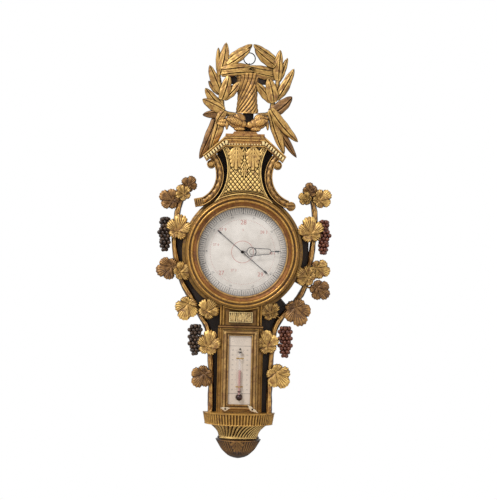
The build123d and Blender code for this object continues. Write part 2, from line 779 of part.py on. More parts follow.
quiver_levels = [(quiver_foot_height, quiver_half_width),
                 (quiver_foot_height + quiver_waist_share * quiver_height, quiver_waist),
                 (quiver_top_height - quiver_lip, quiver_half_width),
                 (quiver_top_height, quiver_half_width + 2)]
with BuildPart() as quiver:
    for (low, low_width), (high, high_width) in zip(quiver_levels, quiver_levels[1:]):
        with BuildSketch(Plane.XY.offset(low)):
            with Locations((wreath_centre - 3, -tongue_thickness)):
                Ellipse(low_width, low_width / quiver_half_width * quiver_half_depth)
        with BuildSketch(Plane.XY.offset(high)):
            with Locations((wreath_centre - 3, -tongue_thickness)):
                Ellipse(high_width, high_width / quiver_half_width * quiver_half_depth)
        loft(ruled=True)
    with BuildSketch(Plane.XY.offset(quiver_top_height)):
        with Locations((wreath_centre - 3, -tongue_thickness)):
            Ellipse(quiver_half_width - 3, quiver_half_depth - 3)
    extrude(amount=-quiver_lip, mode=Mode.SUBTRACT)
    split(bisect_by=front(tongue_thickness), keep=Keep.TOP)
    add(wreath_crossbar.part, mode=Mode.SUBTRACT)
save(quiver, "quiver")


branches = {}
for hand in ("left", "right"):
    with BuildPart() as wreath_branch:
        with BuildSketch(front(tongue_thickness)):
            add(band(crown(wreath_routes[hand]), wreath_stem_width, 14))
        extrude(amount=wreath_stem_thickness)
        for base_x, base_z, tip_x, tip_z, width, level in wreath_leaves[hand] + drooping_leaves[hand]:
            with BuildSketch(front(tongue_thickness + leaf_level_start + leaf_level_step * level)):
                add(laurel_leaf(base_x, cap_top_height + base_z, tip_x, cap_top_height + tip_z, width))
            extrude(amount=wreath_leaf_thickness, taper=leaf_bevel)
        for neighbour in (backboard, quiver, wreath_crossbar, dove_plinth, cornice, cornice_cap,
                          *doves.values(), *neck_scrolls.values(), *branches.values()):
            add(neighbour.part, mode=Mode.SUBTRACT)
        drop_crumbs(wreath_branch)
    branches[hand] = wreath_branch
    save(wreath_branch, f"wreath_branch_{hand}")

# ==================================================================================================
# Thermometer and its case
# ==================================================================================================

with BuildPart() as thermometer_box:
    with BuildSketch(front(board_thickness)):
        with Locations((0, (box_step_height + box_foot_height) / 2)):
            Rectangle(2 * box_half_width, box_step_height - box_foot_height)
    extrude(amount=box_depth - board_thickness)
    with BuildSketch(front(board_thickness)):
        with Locations((0, (box_top_height + box_step_height) / 2)):
            Rectangle(2 * box_top_half_width, box_top_height - box_step_height)
    extrude(amount=box_top_depth - board_thickness)
    add(drum_envelope(glue_gap), mode=Mode.SUBTRACT)
    add(cylinder(0, bulb_height, bulb_radius + 1, box_depth - bulb_radius, box_depth),
        mode=Mode.SUBTRACT)
save(thermometer_box, "thermometer_box")

with BuildPart() as tablet:
    with BuildSketch(front(box_top_depth)):
        with Locations((0, tablet_centre_height)):
            Rectangle(2 * tablet_half_width, tablet_height)
    extrude(amount=tablet_thickness)
    chamfer(tablet.faces().sort_by(Axis.Y)[0].edges(), length=1.5)
save(tablet, "tablet")

with BuildPart() as case_ledge:
    add(block(0, box_step_height + ledge_height / 2 + 2, 2 * ledge_half_width, ledge_height,
              box_top_depth, ledge_depth))
    fillet(case_ledge.edges().filter_by(Axis.X).group_by(Axis.Y)[0], radius=2.5)
save(case_ledge, "case_ledge")

plate_centre_height = (plate_top_height + plate_foot_height) / 2
plate_height = plate_top_height - plate_foot_height
frame_pin_places = [(side * (frame_half_width + plate_half_width) / 2 * 0.94, frame_foot_height + 5)
                    for side in (-1, 1)]
with BuildPart() as thermometer_frame:
    with BuildSketch(front(box_depth)):
        with Locations((0, (frame_top_height + frame_foot_height) / 2)):
            Rectangle(2 * frame_half_width, frame_top_height - frame_foot_height)
        with Locations((0, plate_centre_height)):
            Rectangle(2 * plate_half_width, plate_height, mode=Mode.SUBTRACT)
    extrude(amount=frame_thickness)
    chamfer(thermometer_frame.faces().sort_by(Axis.Y)[0].inner_wires()[0].edges(),
            length=frame_bevel)
    chamfer(thermometer_frame.faces().sort_by(Axis.Y)[0].outer_wire().edges(),
            length=frame_bevel * 0.6)
    add(block(0, plate_centre_height, 2 * (plate_half_width + plate_lap + drop_in_gap),
              plate_height + 2 * (plate_lap + drop_in_gap), box_depth,
              box_depth + plate_thickness + drop_in_gap), mode=Mode.SUBTRACT)
    for x, z in frame_pin_places:
        add(cylinder(x, z, 0.9 + fit_gap, box_depth, box_depth + frame_thickness),
            mode=Mode.SUBTRACT)
save(thermometer_frame, "thermometer_frame")

with BuildPart() as frame_pins:
    for x, z in frame_pin_places:
        add(cylinder(x, z, 0.9, box_depth, box_depth + frame_thickness))
        add(cylinder(x, z, 2.0, box_depth + frame_thickness, box_depth + frame_thickness + 1))
save(frame_pins, "frame_pins")

with BuildPart() as thermometer_scale:
    add(block(0, plate_centre_height, 2 * (plate_half_width + plate_lap),
              plate_height + 2 * plate_lap, box_depth, box_depth + plate_thickness))
    add(cylinder(0, bulb_height, bulb_radius + 1, box_depth, box_depth + plate_thickness),
        mode=Mode.SUBTRACT)
save(thermometer_scale, "thermometer_scale")


def tube_solid(stem_radius, ball_radius, top_height):
    """A stem with a ball at its foot, turned about the thermometer's upright axis."""
    neck_height = bulb_height + math.sqrt(ball_radius ** 2 - stem_radius ** 2)
    with BuildPart() as body:
        with BuildSketch(front(tube_depth)):
            with BuildLine():
                Polyline((0, bulb_height - ball_radius), (0, top_height),
                         (stem_radius, top_height), (stem_radius, neck_height))
                ThreePointArc((stem_radius, neck_height), (ball_radius, bulb_height),
                              (0, bulb_height - ball_radius))
            make_face()
        revolve(axis=Axis((0, -tube_depth, 0), (0, 0, 1)))
    return body.part


with BuildPart() as thermometer_tube:
    add(tube_solid(tube_radius, bulb_radius, tube_top_height))
    add(tube_solid(tube_radius - tube_wall, bulb_radius - bulb_wall, tube_top_height - 4),
        mode=Mode.SUBTRACT)
save(thermometer_tube, "thermometer_tube")

with BuildPart() as thermometer_spirit:
    add(tube_solid(tube_radius - tube_wall - fit_gap, bulb_radius - bulb_wall - fit_gap,
                   spirit_top_height))
save(thermometer_spirit, "thermometer_spirit")

clip_inner = tube_radius + drop_in_gap
clip_outer = clip_inner + clip_wire
plate_front_depth = box_depth + plate_thickness
with BuildPart() as tube_clips:
    for height in (tube_top_height - 18, bulb_height + 24):
        with BuildSketch(Plane.XY.offset(height)):
            with Locations((0, -tube_depth)):
                Circle(clip_outer)
            with Locations((0, -(tube_depth + plate_front_depth) / 2)):
                Rectangle(2 * clip_outer, tube_depth - plate_front_depth)
            with Locations((0, -plate_front_depth - clip_wire / 2)):
                Rectangle(4 * clip_outer, clip_wire)
            with Locations((0, -tube_depth)):
                Circle(clip_inner, mode=Mode.SUBTRACT)
            with Locations((0, -(tube_depth + plate_front_depth) / 2)):
                Rectangle(2 * clip_inner, tube_depth - plate_front_depth, mode=Mode.SUBTRACT)
            with Locations((0, 5 - plate_front_depth)):
                Rectangle(4 * clip_outer, 10, mode=Mode.SUBTRACT)
        extrude(amount=clip_width)
save(tube_clips, "tube_clips")

# ==================================================================================================
# Console
# ==================================================================================================


def half_oval(top_height, top_width, top_reach, foot_height, foot_width, foot_reach):
    """A half-oval tier that stands against the backboard, between two heights."""
    with BuildPart() as tier:
        for height, width, reach in ((top_height, top_width, top_reach),
                                     (foot_height, foot_width, foot_reach)):
            with BuildSketch(Plane.XY.offset(height)):
                with Locations((0, -board_thickness)):
                    Ellipse(width, reach)
        loft(ruled=True)
        split(bisect_by=front(board_thickness), keep=Keep.TOP)
    return tier.part


with BuildPart() as console_shelf:
    add(half_oval(box_foot_height, shelf_half_width, shelf_projection,
                  box_foot_height - 5, shelf_half_width, shelf_projection))
    add(half_oval(box_foot_height - 5, shelf_half_width - 3, shelf_projection - 3,
                  shelf_foot_height + 5, shelf_foot_half_width - 2, shelf_projection - 5))
    add(half_oval(shelf_foot_height + 5, shelf_foot_half_width, shelf_projection - 3,
                  shelf_foot_height, shelf_foot_half_width, shelf_projection - 3))
save(console_shelf, "console_shelf")

gadroon_belly_height = shelf_foot_height - gadroon_height * 0.45
gadroon_belly = gadroon_foot_half_width + (gadroon_half_width - gadroon_foot_half_width) * 0.75
with BuildPart() as console_gadroon:
    add(half_oval(shelf_foot_height, gadroon_half_width, gadroon_projection,
                  gadroon_belly_height, gadroon_belly, gadroon_projection * 0.9))
    add(half_oval(gadroon_belly_height, gadroon_belly, gadroon_projection * 0.9,
                  gadroon_foot_height, gadroon_foot_half_width, gadroon_projection * 0.7))
    add(half_oval(gadroon_foot_height, gadroon_foot_half_width + 3, gadroon_projection * 0.75,
                  pendant_top_height, gadroon_foot_half_width + 3, gadroon_projection * 0.75))
save(console_gadroon, "console_gadroon")

with BuildPart() as console_pendant:
    with BuildSketch(front(board_thickness)):
        with BuildLine():
            pendant_flank = Spline(
                *((share * pendant_radius, pendant_top_height - drop * pendant_height)
                  for share, drop in pendant_outline),
                tangents=[(-0.15, -1), (-1, 0)])
            Polyline(pendant_flank @ 1, (0, pendant_top_height),
                     (pendant_top_radius, pendant_top_height), pendant_flank @ 0)
        make_face()
    revolve(axis=Axis((0, -board_thickness, 0), (0, 0, 1)))
    split(bisect_by=front(board_thickness), keep=Keep.TOP)
save(console_pendant, "console_pendant")

# ==================================================================================================
# Vines
# ==================================================================================================


def plain_grape(x, z, start_depth, height):
    """One grape, a six-sided dome that faces the viewer."""
    with BuildPart() as grape:
        with BuildSketch(front(start_depth)):
            with Locations((x, z)):
                RegularPolygon(grape_radius, 6, rotation=30)
        extrude(amount=height, taper=grape_taper)
    return grape.part


for side, hand in ((-1, "left"), (1, "right")):
    with BuildPart() as vine:
        with BuildSketch(front(board_thickness)):
            add(band(vine_routes[hand], vine_stem_width, 26))
        extrude(amount=vine_stem_thickness)
        for number, (x, z, size, direction) in enumerate(vine_leaves[hand]):
            leaf_depth = board_thickness + vine_stem_thickness - 4 + 3 * (number % 2)
            run = (0.5 * size * math.cos(math.radians(direction)),
                   0.5 * size * math.sin(math.radians(direction)))
            with BuildSketch(front(leaf_depth)):
                add(lobed_leaf(x, z, size, direction))
                add(leaf_stalk(vine_routes[hand], x, z))
            extrude(amount=0.7 * vine_leaf_thickness)
            with BuildSketch(front(leaf_depth + 0.7 * vine_leaf_thickness)):
                add(laurel_leaf(x - 0.4 * run[0], z - 0.4 * run[1], x + run[0], z + run[1],
                                0.3 * size))
            extrude(amount=0.3 * vine_leaf_thickness, taper=leaf_bevel)
        add(drum_envelope(carving_gap), mode=Mode.SUBTRACT)
        add(thermometer_box.part, mode=Mode.SUBTRACT)
        add(neck_scrolls[hand].part, mode=Mode.SUBTRACT)
    save(vine, f"vine_{hand}")
    with BuildPart() as grapes:
        for top_x, top_z, kind in grape_bunches[hand]:
            rows = bunch_row_counts[kind]
            with BuildSketch(front(board_thickness)):
                for row, count in enumerate(rows):
                    with Locations((top_x, top_z - grape_radius * (1 + grape_row_pitch * row))):
                        Rectangle((count - 0.5) * grape_place_pitch * grape_radius, 2 * grape_radius)
            extrude(amount=grape_core_depth - board_thickness)
            for row, count in enumerate(rows):
                for place in range(count):
                    x = top_x + (place - (count - 1) / 2) * grape_place_pitch * grape_radius
                    z = top_z - grape_radius * (1 + grape_row_pitch * row)
                    add(plain_grape(x, z, grape_core_depth - grape_dome,
                                    grape_front_depth - grape_core_depth + grape_dome))
        add(vine.part, mode=Mode.SUBTRACT)
        drop_crumbs(grapes)
    save(grapes, f"grapes_{hand}")

# ==================================================================================================
# Aneroid movement
# ==================================================================================================

capsule_z = -capsule_drop
capsule_foot_depth = base_front_depth
capsule_back_depth = base_front_depth + capsule_foot_height
capsule_front_depth = capsule_back_depth + capsule_height
rocker_z = sector_z + 2.6
rocker_left_end = sector_x - sector_tail - 6
post_size = 5.0
spring_hinge_z = capsule_z - capsule_radius - 6
spring_hinge_depth = capsule_front_depth - 0.7
spring_top_depth = spring_hinge_depth + spring_bend_radius
lever_depth = spring_top_depth
lever_front_depth = lever_depth + lever_gauge
rocker_post_places = ((rocker_left_end - post_size / 2, rocker_z),
                      (rocker_right_end + post_size / 2, rocker_z))
bridge_post_places = ((10.0, -3.0), (sector_x + 12, -3.0))
adjuster_radius = 2.5

with BuildPart() as movement_base_plate:
    add(cylinder(0, 0, base_plate_radius, cover_thickness, base_front_depth))
    add(cylinder(0, capsule_z, adjuster_radius + fit_gap, cover_thickness, base_front_depth),
        mode=Mode.SUBTRACT)
    with BuildSketch(front(cover_thickness)):
        with PolarLocations(base_plate_radius - 6, 3, 90):
            Circle(1.5 + fit_gap)
    extrude(amount=plate_gauge, mode=Mode.SUBTRACT)
save(movement_base_plate, "movement_base_plate")

with BuildPart() as movement_screws:
    with BuildSketch(front(cover_thickness)):
        with PolarLocations(base_plate_radius - 6, 3, 90):
            Circle(1.5)
    extrude(amount=plate_gauge)
    with BuildSketch(front(base_front_depth)):
        with PolarLocations(base_plate_radius - 6, 3, 90):
            Circle(2.8)
    extrude(amount=1.5)
save(movement_screws, "movement_screws")

with BuildPart() as movement_pillars:
    for x, z in pillar_places:
        add(cylinder(x, z, pillar_radius, base_front_depth, top_plate_depth))
save(movement_pillars, "movement_pillars")

with BuildPart() as movement_top_plate:
    add(cylinder(0, 0, top_plate_radius, top_plate_depth, top_plate_depth + top_plate_gauge))
    add(cylinder(0, 0, arbor_radius + fit_gap, top_plate_depth, top_plate_depth + top_plate_gauge),
        mode=Mode.SUBTRACT)
    add(cylinder(sector_x, sector_z, pivot_radius + fit_gap, top_plate_depth,
                 top_plate_depth + top_plate_gauge), mode=Mode.SUBTRACT)
save(movement_top_plate, "movement_top_plate")

with BuildPart() as bridge_plate:
    with BuildSketch(front(bridge_plate_depth)):
        with BuildLine():
            for x, z in ((0, 0), (sector_x, sector_z), *bridge_post_places):
                CenterArc((x, z), 5, 0, 360)
        make_hull()
        for x, z in ((0, 0), (sector_x, sector_z)):
            with Locations((x, z)):
                Circle(pivot_radius + fit_gap, mode=Mode.SUBTRACT)
    extrude(amount=bridge_plate_gauge)
    for x, z in bridge_post_places:
        add(cylinder(x, z, 2.5, base_front_depth, bridge_plate_depth))
save(bridge_plate, "bridge_plate")

rib_pitch = (capsule_radius - stud_head_radius - 6) / 3
with BuildPart() as capsule:
    with BuildSketch(Plane.XY):
        with BuildLine():
            corrugation = []
            for rib in range(3):
                start = capsule_radius - 4 - rib * rib_pitch
                corrugation += [(start, -capsule_front_depth + 1.2),
                                (start - rib_pitch / 2, -capsule_front_depth + 0.4)]
            Polyline((0, -capsule_foot_depth), (6, -capsule_foot_depth), (6, -capsule_back_depth),
                     (capsule_radius - 2, -capsule_back_depth),
                     (capsule_radius, -capsule_back_depth - 2),
                     (capsule_radius, -capsule_front_depth + 2),
                     (capsule_radius - 2, -capsule_front_depth + 0.4), *corrugation,
                     (stud_head_radius + 2, -capsule_front_depth),
                     (stud_radius + fit_gap, -capsule_front_depth),
                     (stud_radius + fit_gap, -capsule_front_depth + stud_socket),
                     (0, -capsule_front_depth + stud_socket), close=True)
        make_face()
    revolve(axis=Axis.Y)
capsule.part.position = (0, 0, capsule_z)
save(capsule, "capsule")

with BuildPart() as capsule_stud:
    add(cylinder(0, capsule_z, stud_radius, capsule_front_depth - stud_socket / 2,
                 lever_front_depth + 1.0))
    add(cylinder(0, capsule_z, stud_head_radius, lever_front_depth + 1.0, lever_front_depth + 2.2))
save(capsule_stud, "capsule_stud")

with BuildPart() as adjusting_screw:
    add(cylinder(0, capsule_z, 4.0, 1.0, cover_thickness - 0.5))
    add(cylinder(0, capsule_z, adjuster_radius, cover_thickness - 0.5, base_front_depth - 0.3))
    add(block(0, capsule_z, 9.0, 1.2, 1.0, 2.2), mode=Mode.SUBTRACT)
save(adjusting_screw, "adjusting_screw")

bridge_block_height = 13.0
bridge_block_depth = spring_hinge_depth - spring_bend_radius - 0.3
with BuildPart() as spring_bridge:
    add(block(0, spring_hinge_z, 2 * spring_half_width + 6, bridge_block_height / 2,
              base_front_depth, bridge_block_depth))
save(spring_bridge, "spring_bridge")

inner_bend = spring_bend_radius - spring_gauge
with BuildPart() as main_spring:
    with BuildSketch(Plane.YZ.offset(-spring_half_width)):
        with BuildLine():
            Line((-spring_hinge_depth - spring_bend_radius, capsule_z + spring_end_rise),
                 (-spring_hinge_depth - spring_bend_radius, spring_hinge_z))
            ThreePointArc((-spring_hinge_depth - spring_bend_radius, spring_hinge_z),
                          (-spring_hinge_depth, spring_hinge_z - spring_bend_radius),
                          (-spring_hinge_depth + spring_bend_radius, spring_hinge_z))
            Polyline((-spring_hinge_depth + spring_bend_radius, spring_hinge_z),
                     (-spring_hinge_depth + spring_bend_radius, spring_hinge_z + 3),
                     (-spring_hinge_depth + inner_bend, spring_hinge_z + 3),
                     (-spring_hinge_depth + inner_bend, spring_hinge_z))
            ThreePointArc((-spring_hinge_depth + inner_bend, spring_hinge_z),
                          (-spring_hinge_depth, spring_hinge_z - inner_bend),
                          (-spring_hinge_depth - inner_bend, spring_hinge_z))
            Polyline((-spring_hinge_depth - inner_bend, spring_hinge_z),
                     (-spring_hinge_depth - inner_bend, capsule_z + spring_end_rise),
                     (-spring_hinge_depth - spring_bend_radius, capsule_z + spring_end_rise))
        make_face()
    extrude(amount=2 * spring_half_width)
    add(cylinder(0, capsule_z, stud_radius + 0.8, capsule_front_depth, lever_front_depth),
        mode=Mode.SUBTRACT)
save(main_spring, "main_spring")

lever_tip_z = rocker_z - rocker_arm
with BuildPart() as main_lever:
    with BuildSketch(front(lever_depth)):
        with Locations((lever_offset / 2, capsule_z)):
            Rectangle(lever_offset + 12, 12)
        with Locations((lever_offset, (capsule_z + lever_tip_z) / 2)):
            Rectangle(6, lever_tip_z - capsule_z + 6)
        with Locations((0, capsule_z)):
            Circle(stud_radius + 0.8, mode=Mode.SUBTRACT)
    extrude(amount=lever_gauge)
save(main_lever, "main_lever")

with BuildPart() as lever_link:
    add(cylinder(lever_offset + 2.4, lever_tip_z, 0.7, rocker_depth, lever_depth))
save(lever_link, "lever_link")

with BuildPart() as rocking_shaft:
    with BuildSketch(Plane.YZ.offset(rocker_left_end)):
        with Locations((-rocker_depth, rocker_z)):
            Circle(rocker_radius)
    extrude(amount=rocker_right_end - rocker_left_end)
    with BuildSketch(Plane.YZ.offset(rocker_left_end - post_size)):
        with Locations((-rocker_depth, rocker_z)):
            Circle(pivot_radius)
    extrude(amount=rocker_right_end - rocker_left_end + 2 * post_size)
    add(cylinder(sector_x - sector_tail, rocker_z, 0.7, rocker_depth, gear_depth + gear_gauge))
    add(block(lever_offset, rocker_z - rocker_arm / 2, 2.4, rocker_arm, rocker_depth - 0.8,
              rocker_depth + 0.8))
save(rocking_shaft, "rocking_shaft")

with BuildPart() as rocker_posts:
    for x, z in rocker_post_places:
        add(block(x, z, post_size - 0.4, post_size, base_front_depth, rocker_depth + 3))
    with BuildSketch(Plane.YZ.offset(rocker_left_end - post_size)):
        with Locations((-rocker_depth, rocker_z)):
            Circle(pivot_radius + fit_gap)
    extrude(amount=rocker_right_end - rocker_left_end + 2 * post_size, mode=Mode.SUBTRACT)
save(rocker_posts, "rocker_posts")

teeth_middle = sector_angle + 180 + 5
tooth_pitch = 360 / wheel_teeth
sector_root = sector_pitch_radius - tooth_dedendum * gear_module
with BuildPart() as sector_gear:
    with BuildSketch(front(gear_depth)):
        rim_half_angle = tooth_pitch * sector_teeth / 2
        with BuildLine():
            rim_start = (sector_root * math.cos(math.radians(teeth_middle - rim_half_angle)),
                         sector_root * math.sin(math.radians(teeth_middle - rim_half_angle)))
            rim_middle = (sector_root * math.cos(math.radians(teeth_middle)),
                          sector_root * math.sin(math.radians(teeth_middle)))
            rim_end = (sector_root * math.cos(math.radians(teeth_middle + rim_half_angle)),
                       sector_root * math.sin(math.radians(teeth_middle + rim_half_angle)))
            Line((0, 0), rim_start)
            ThreePointArc(rim_start, rim_middle, rim_end)
            Line(rim_end, (0, 0))
        make_face()
        Circle(4)
        for tooth in range(sector_teeth):
            add(gear_tooth(sector_pitch_radius,
                           sector_angle + 180 + (tooth - (sector_teeth - 1) / 2 + 1.5) * tooth_pitch))
        with Locations((-sector_tail / 2, 0)):
            Rectangle(sector_tail, 3)
        Circle(pivot_radius, mode=Mode.SUBTRACT)
    extrude(amount=gear_gauge)
    add(cylinder(0, 0, pivot_radius, bridge_plate_depth, top_plate_depth + top_plate_gauge))
    add(cylinder(0, 0, 2, bridge_plate_depth + bridge_plate_gauge + 0.2, top_plate_depth - 0.2))
sector_gear.part.position = (sector_x, 0, sector_z)
save(sector_gear, "sector_gear")

with BuildPart() as hand_arbor:
    with BuildSketch(front(gear_depth - 0.5)):
        Circle(pinion_pitch_radius - tooth_dedendum * gear_module)
        for tooth in range(pinion_teeth):
            add(gear_tooth(pinion_pitch_radius, sector_angle + tooth * 360 / pinion_teeth))
    extrude(amount=gear_gauge + 1)
    add(cylinder(0, 0, pivot_radius, bridge_plate_depth, gear_depth))
    add(cylinder(0, 0, arbor_radius, gear_depth, dial_front_depth + 5.5))
    add(cylinder(0, 0, 2.6, gear_depth + gear_gauge + 1.2, top_plate_depth - 0.3))
save(hand_arbor, "hand_arbor")

with BuildPart() as hairspring:
    with BuildSketch(front(top_plate_depth - 2.2)):
        for half_turn in range(2 * hairspring_turns):
            radius = 3.4 + half_turn * hairspring_pitch / 2
            shift = hairspring_pitch / 4 * (1 if half_turn % 2 else -1)
            heading = 180 if half_turn % 2 else 0
            add(arc_band((shift + radius * math.cos(math.radians(heading)), 0),
                         (shift, radius * (-1 if half_turn % 2 else 1)),
                         (shift - radius * math.cos(math.radians(heading)), 0), hairspring_gauge))
    extrude(amount=1.2)
save(hairspring, "hairspring")

# ==================================================================================================
# Hands
# ==================================================================================================


def pressure_hand_outline():
    """The double-ended hand lying along +Y: a spear head and a crescent tail."""
    head = hand_length - 24
    with BuildSketch() as outline:
        with BuildLine():
            Polyline((1.6, 0), (1.0, head), (4.2, head + 7), (0, hand_length), (-4.2, head + 7),
                     (-1.0, head), (-1.6, 0), (-1.8, 12 - hand_length), (1.8, 12 - hand_length),
                     close=True)
        make_face()
        with Locations((0, crescent_radius - hand_length)):
            Circle(crescent_radius)
        with Locations((0, crescent_radius - 4 - hand_length)):
            Circle(crescent_radius * 0.75, mode=Mode.SUBTRACT)
        Circle(hand_hub_radius)
    return outline.sketch


def set_hand_outline():
    """The pierced set hand lying along +X: a ring, two bars and an arrow."""
    with BuildSketch() as outline:
        Circle(knob_post_radius + 2)
        with Locations((7, 0)):
            Rectangle(10, 4)
        with Locations((21, 0)):
            Ellipse(9.5, 12)
            Ellipse(7, 9.4, mode=Mode.SUBTRACT)
        for side in (-1, 1):
            with BuildLine():
                Polyline((28, side * 5.6), (68, side * 4.2), (68, side * 6.6), (28, side * 8.2),
                         close=True)
            make_face()
        for station in (30, 67):
            with Locations((station, 0)):
                Rectangle(2.6, 15)
        with Locations((75, 0)):
            Rectangle(16, 2.2)
        with BuildLine():
            Polyline((set_hand_length - 10, 4.2), (set_hand_length, 0), (set_hand_length - 10, -4.2),
                     close=True)
        make_face()
        Circle(knob_post_radius + 0.02, mode=Mode.SUBTRACT)
    return outline.sketch


hand_depth = dial_front_depth + 3.8
with BuildPart() as pressure_hand:
    with BuildSketch(front(hand_depth)):
        add(pressure_hand_outline(), rotation=hand_bearing)
    extrude(amount=hand_gauge)
    add(cylinder(0, 0, hand_hub_radius - 1, hand_depth - 1.2, hand_depth + 1.5))
    add(cylinder(0, 0, arbor_radius + 0.02, hand_depth - 1.2, hand_depth + 1.5),
        mode=Mode.SUBTRACT)
save(pressure_hand, "pressure_hand")

set_hand_depth = glass_back_depth - 2.0 - set_hand_gauge
with BuildPart() as set_hand:
    with BuildSketch(front(set_hand_depth)):
        add(set_hand_outline(), rotation=set_hand_bearing)
    extrude(amount=set_hand_gauge)
save(set_hand, "set_hand")

with BuildPart() as set_hand_knob:
    add(cylinder(0, 0, knob_post_radius, set_hand_depth - 0.6, glass_front_depth + drop_in_gap))
    add(cylinder(0, 0, knob_radius, glass_front_depth + drop_in_gap,
                 glass_front_depth + drop_in_gap + knob_height))
    chamfer(set_hand_knob.faces().sort_by(Axis.Y)[0].edges(), length=1.0)
save(set_hand_knob, "set_hand_knob")
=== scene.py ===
"""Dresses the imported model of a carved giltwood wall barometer.

The frame is the CAD model's own: metres, +Z up, the front faces -Y, and the dial's axis meets the
wall at the origin. A depth is a distance in front of the wall. Sizes in the classes are in
millimetres and become metres in `at`.
"""

import logging
import math
import random
from dataclasses import dataclass, field
from enum import Enum
from typing import Callable, Iterable, Sequence, Union

import bmesh
import bpy
import numpy as np
from mathutils import Matrix, Vector, noise


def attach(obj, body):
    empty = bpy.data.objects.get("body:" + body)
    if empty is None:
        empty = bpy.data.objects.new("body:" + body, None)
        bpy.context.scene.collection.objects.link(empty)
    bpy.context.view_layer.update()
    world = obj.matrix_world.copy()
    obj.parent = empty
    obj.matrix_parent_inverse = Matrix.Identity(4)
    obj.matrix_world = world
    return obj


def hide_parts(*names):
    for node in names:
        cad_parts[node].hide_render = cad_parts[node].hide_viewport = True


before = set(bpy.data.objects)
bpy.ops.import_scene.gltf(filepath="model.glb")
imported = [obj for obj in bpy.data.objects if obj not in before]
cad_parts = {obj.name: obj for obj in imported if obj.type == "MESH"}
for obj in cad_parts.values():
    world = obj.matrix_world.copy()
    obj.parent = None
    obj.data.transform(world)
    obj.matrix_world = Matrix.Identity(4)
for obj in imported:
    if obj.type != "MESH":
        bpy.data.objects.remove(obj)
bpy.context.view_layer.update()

MM = 0.001
CARVING = "carving"
Point = tuple[float, float]
Tone = tuple[float, float, float, float]
Masses = tuple[tuple[float, ...], ...]
Form = bmesh.types.BMesh
Socket = bpy.types.NodeSocket
Feed = Union[Socket, float, Tone]
log = logging.getLogger("barometer")


# --------------------------------------------------------------------------------------------------
# Measures and curves
# --------------------------------------------------------------------------------------------------


def at(x: float, depth: float, z: float) -> Vector:
    """A place given in millimetres, with the depth in front of the wall."""
    return Vector((x * MM, -depth * MM, z * MM))


def lerp(first: float, last: float, share: float) -> float:
    """The value a share of the way from the first to the last."""
    return first + (last - first) * share


def ease(low: float, high: float, value: float) -> float:
    """A smooth step from 0 at low to 1 at high."""
    share = min(max((value - low) / (high - low), 0.0), 1.0)
    return share * share * (3.0 - 2.0 * share)


def between(stops: Sequence[Point], value: float) -> float:
    """Reads a height from (position, height) stops joined by straight lines.

    Args:
        stops: The stops, in rising order of position.
        value: The position to read at.

    Returns:
        The height, held at the first and last stop beyond them.
    """
    if value <= stops[0][0]:
        return stops[0][1]
    for (low, low_height), (high, high_height) in zip(stops, stops[1:]):
        if value <= high:
            return low_height + (high_height - low_height) * (value - low) / (high - low)
    return stops[-1][1]


def rounded(stops: Sequence[Point], value: float) -> float:
    """Reads a height as `between` does, with a smooth turn at each stop."""
    for (low, low_height), (high, high_height) in zip(stops, stops[1:]):
        if low <= value <= high:
            return lerp(low_height, high_height, ease(low, high, value))
    return stops[0][1] if value < stops[0][0] else stops[-1][1]


@dataclass(frozen=True)
class Arc:
    """A circular arc through three points of the wall plane."""

    start: Point
    middle: Point
    end: Point

    def circle(self) -> tuple[Vector, float]:
        """The centre and radius of the arc's circle."""
        (ax, az), (bx, bz), (cx, cz) = self.start, self.middle, self.end
        twice = 2.0 * (ax * (bz - cz) + bx * (cz - az) + cx * (az - bz))
        a, b, c = ax * ax + az * az, bx * bx + bz * bz, cx * cx + cz * cz
        centre = Vector(((a * (bz - cz) + b * (cz - az) + c * (az - bz)) / twice,
                         (a * (cx - bx) + b * (ax - cx) + c * (bx - ax)) / twice))
        return centre, (Vector(self.start) - centre).length

    def place(self, share: float, offset: float = 0.0) -> Point:
        """A point at a share of the arc, moved out from its centre by an offset."""
        centre, radius = self.circle()
        first = math.atan2(self.start[1] - centre.y, self.start[0] - centre.x)
        turns = [(math.atan2(z - centre.y, x - centre.x) - first) % (2 * math.pi)
                 for x, z in (self.middle, self.end)]
        sweep = turns[1] if turns[0] < turns[1] else turns[1] - 2 * math.pi
        angle = first + sweep * share
        return (centre.x + (radius + offset) * math.cos(angle),
                centre.y + (radius + offset) * math.sin(angle))


@dataclass(frozen=True)
class Route:
    """A smooth line through points of the wall plane."""

    points: tuple[Point, ...]

    def place(self, share: float) -> Vector:
        """The point at a share of the line, counted by its points."""
        last = len(self.points) - 1
        step = min(int(share * last), last - 1)
        t = share * last - step
        p = [Vector(self.points[min(max(step + k, 0), last)]) for k in (-1, 0, 1, 2)]
        return 0.5 * (2 * p[1] + (p[2] - p[0]) * t + (2 * p[0] - 5 * p[1] + 4 * p[2] - p[3]) * t * t
                      + (3 * p[1] - p[0] - 3 * p[2] + p[3]) * t ** 3)

    def across(self, share: float) -> Vector:
        """The unit vector across the line at a share of it."""
        run = self.place(min(share + 0.01, 1.0)) - self.place(max(share - 0.01, 0.0))
        return Vector((run.y, -run.x)).normalized()


# --------------------------------------------------------------------------------------------------
# Mesh work
# --------------------------------------------------------------------------------------------------


def shift(form: Form, move: Vector) -> None:
    """Moves a form."""
    bmesh.ops.translate(form, verts=form.verts, vec=move)


def swing(form: Form, degrees: float, axis: str = "Y") -> None:
    """Turns a form about an axis through the origin."""
    bmesh.ops.rotate(form, cent=(0, 0, 0), matrix=Matrix.Rotation(math.radians(degrees), 3, axis),
                     verts=form.verts)


def block(size: Sequence[float]) -> Form:
    """A plain block about the origin, its size in millimetres."""
    form = bmesh.new()
    bmesh.ops.create_cube(form, size=1.0)
    bmesh.ops.scale(form, vec=Vector(size) * MM, verts=form.verts)
    return form


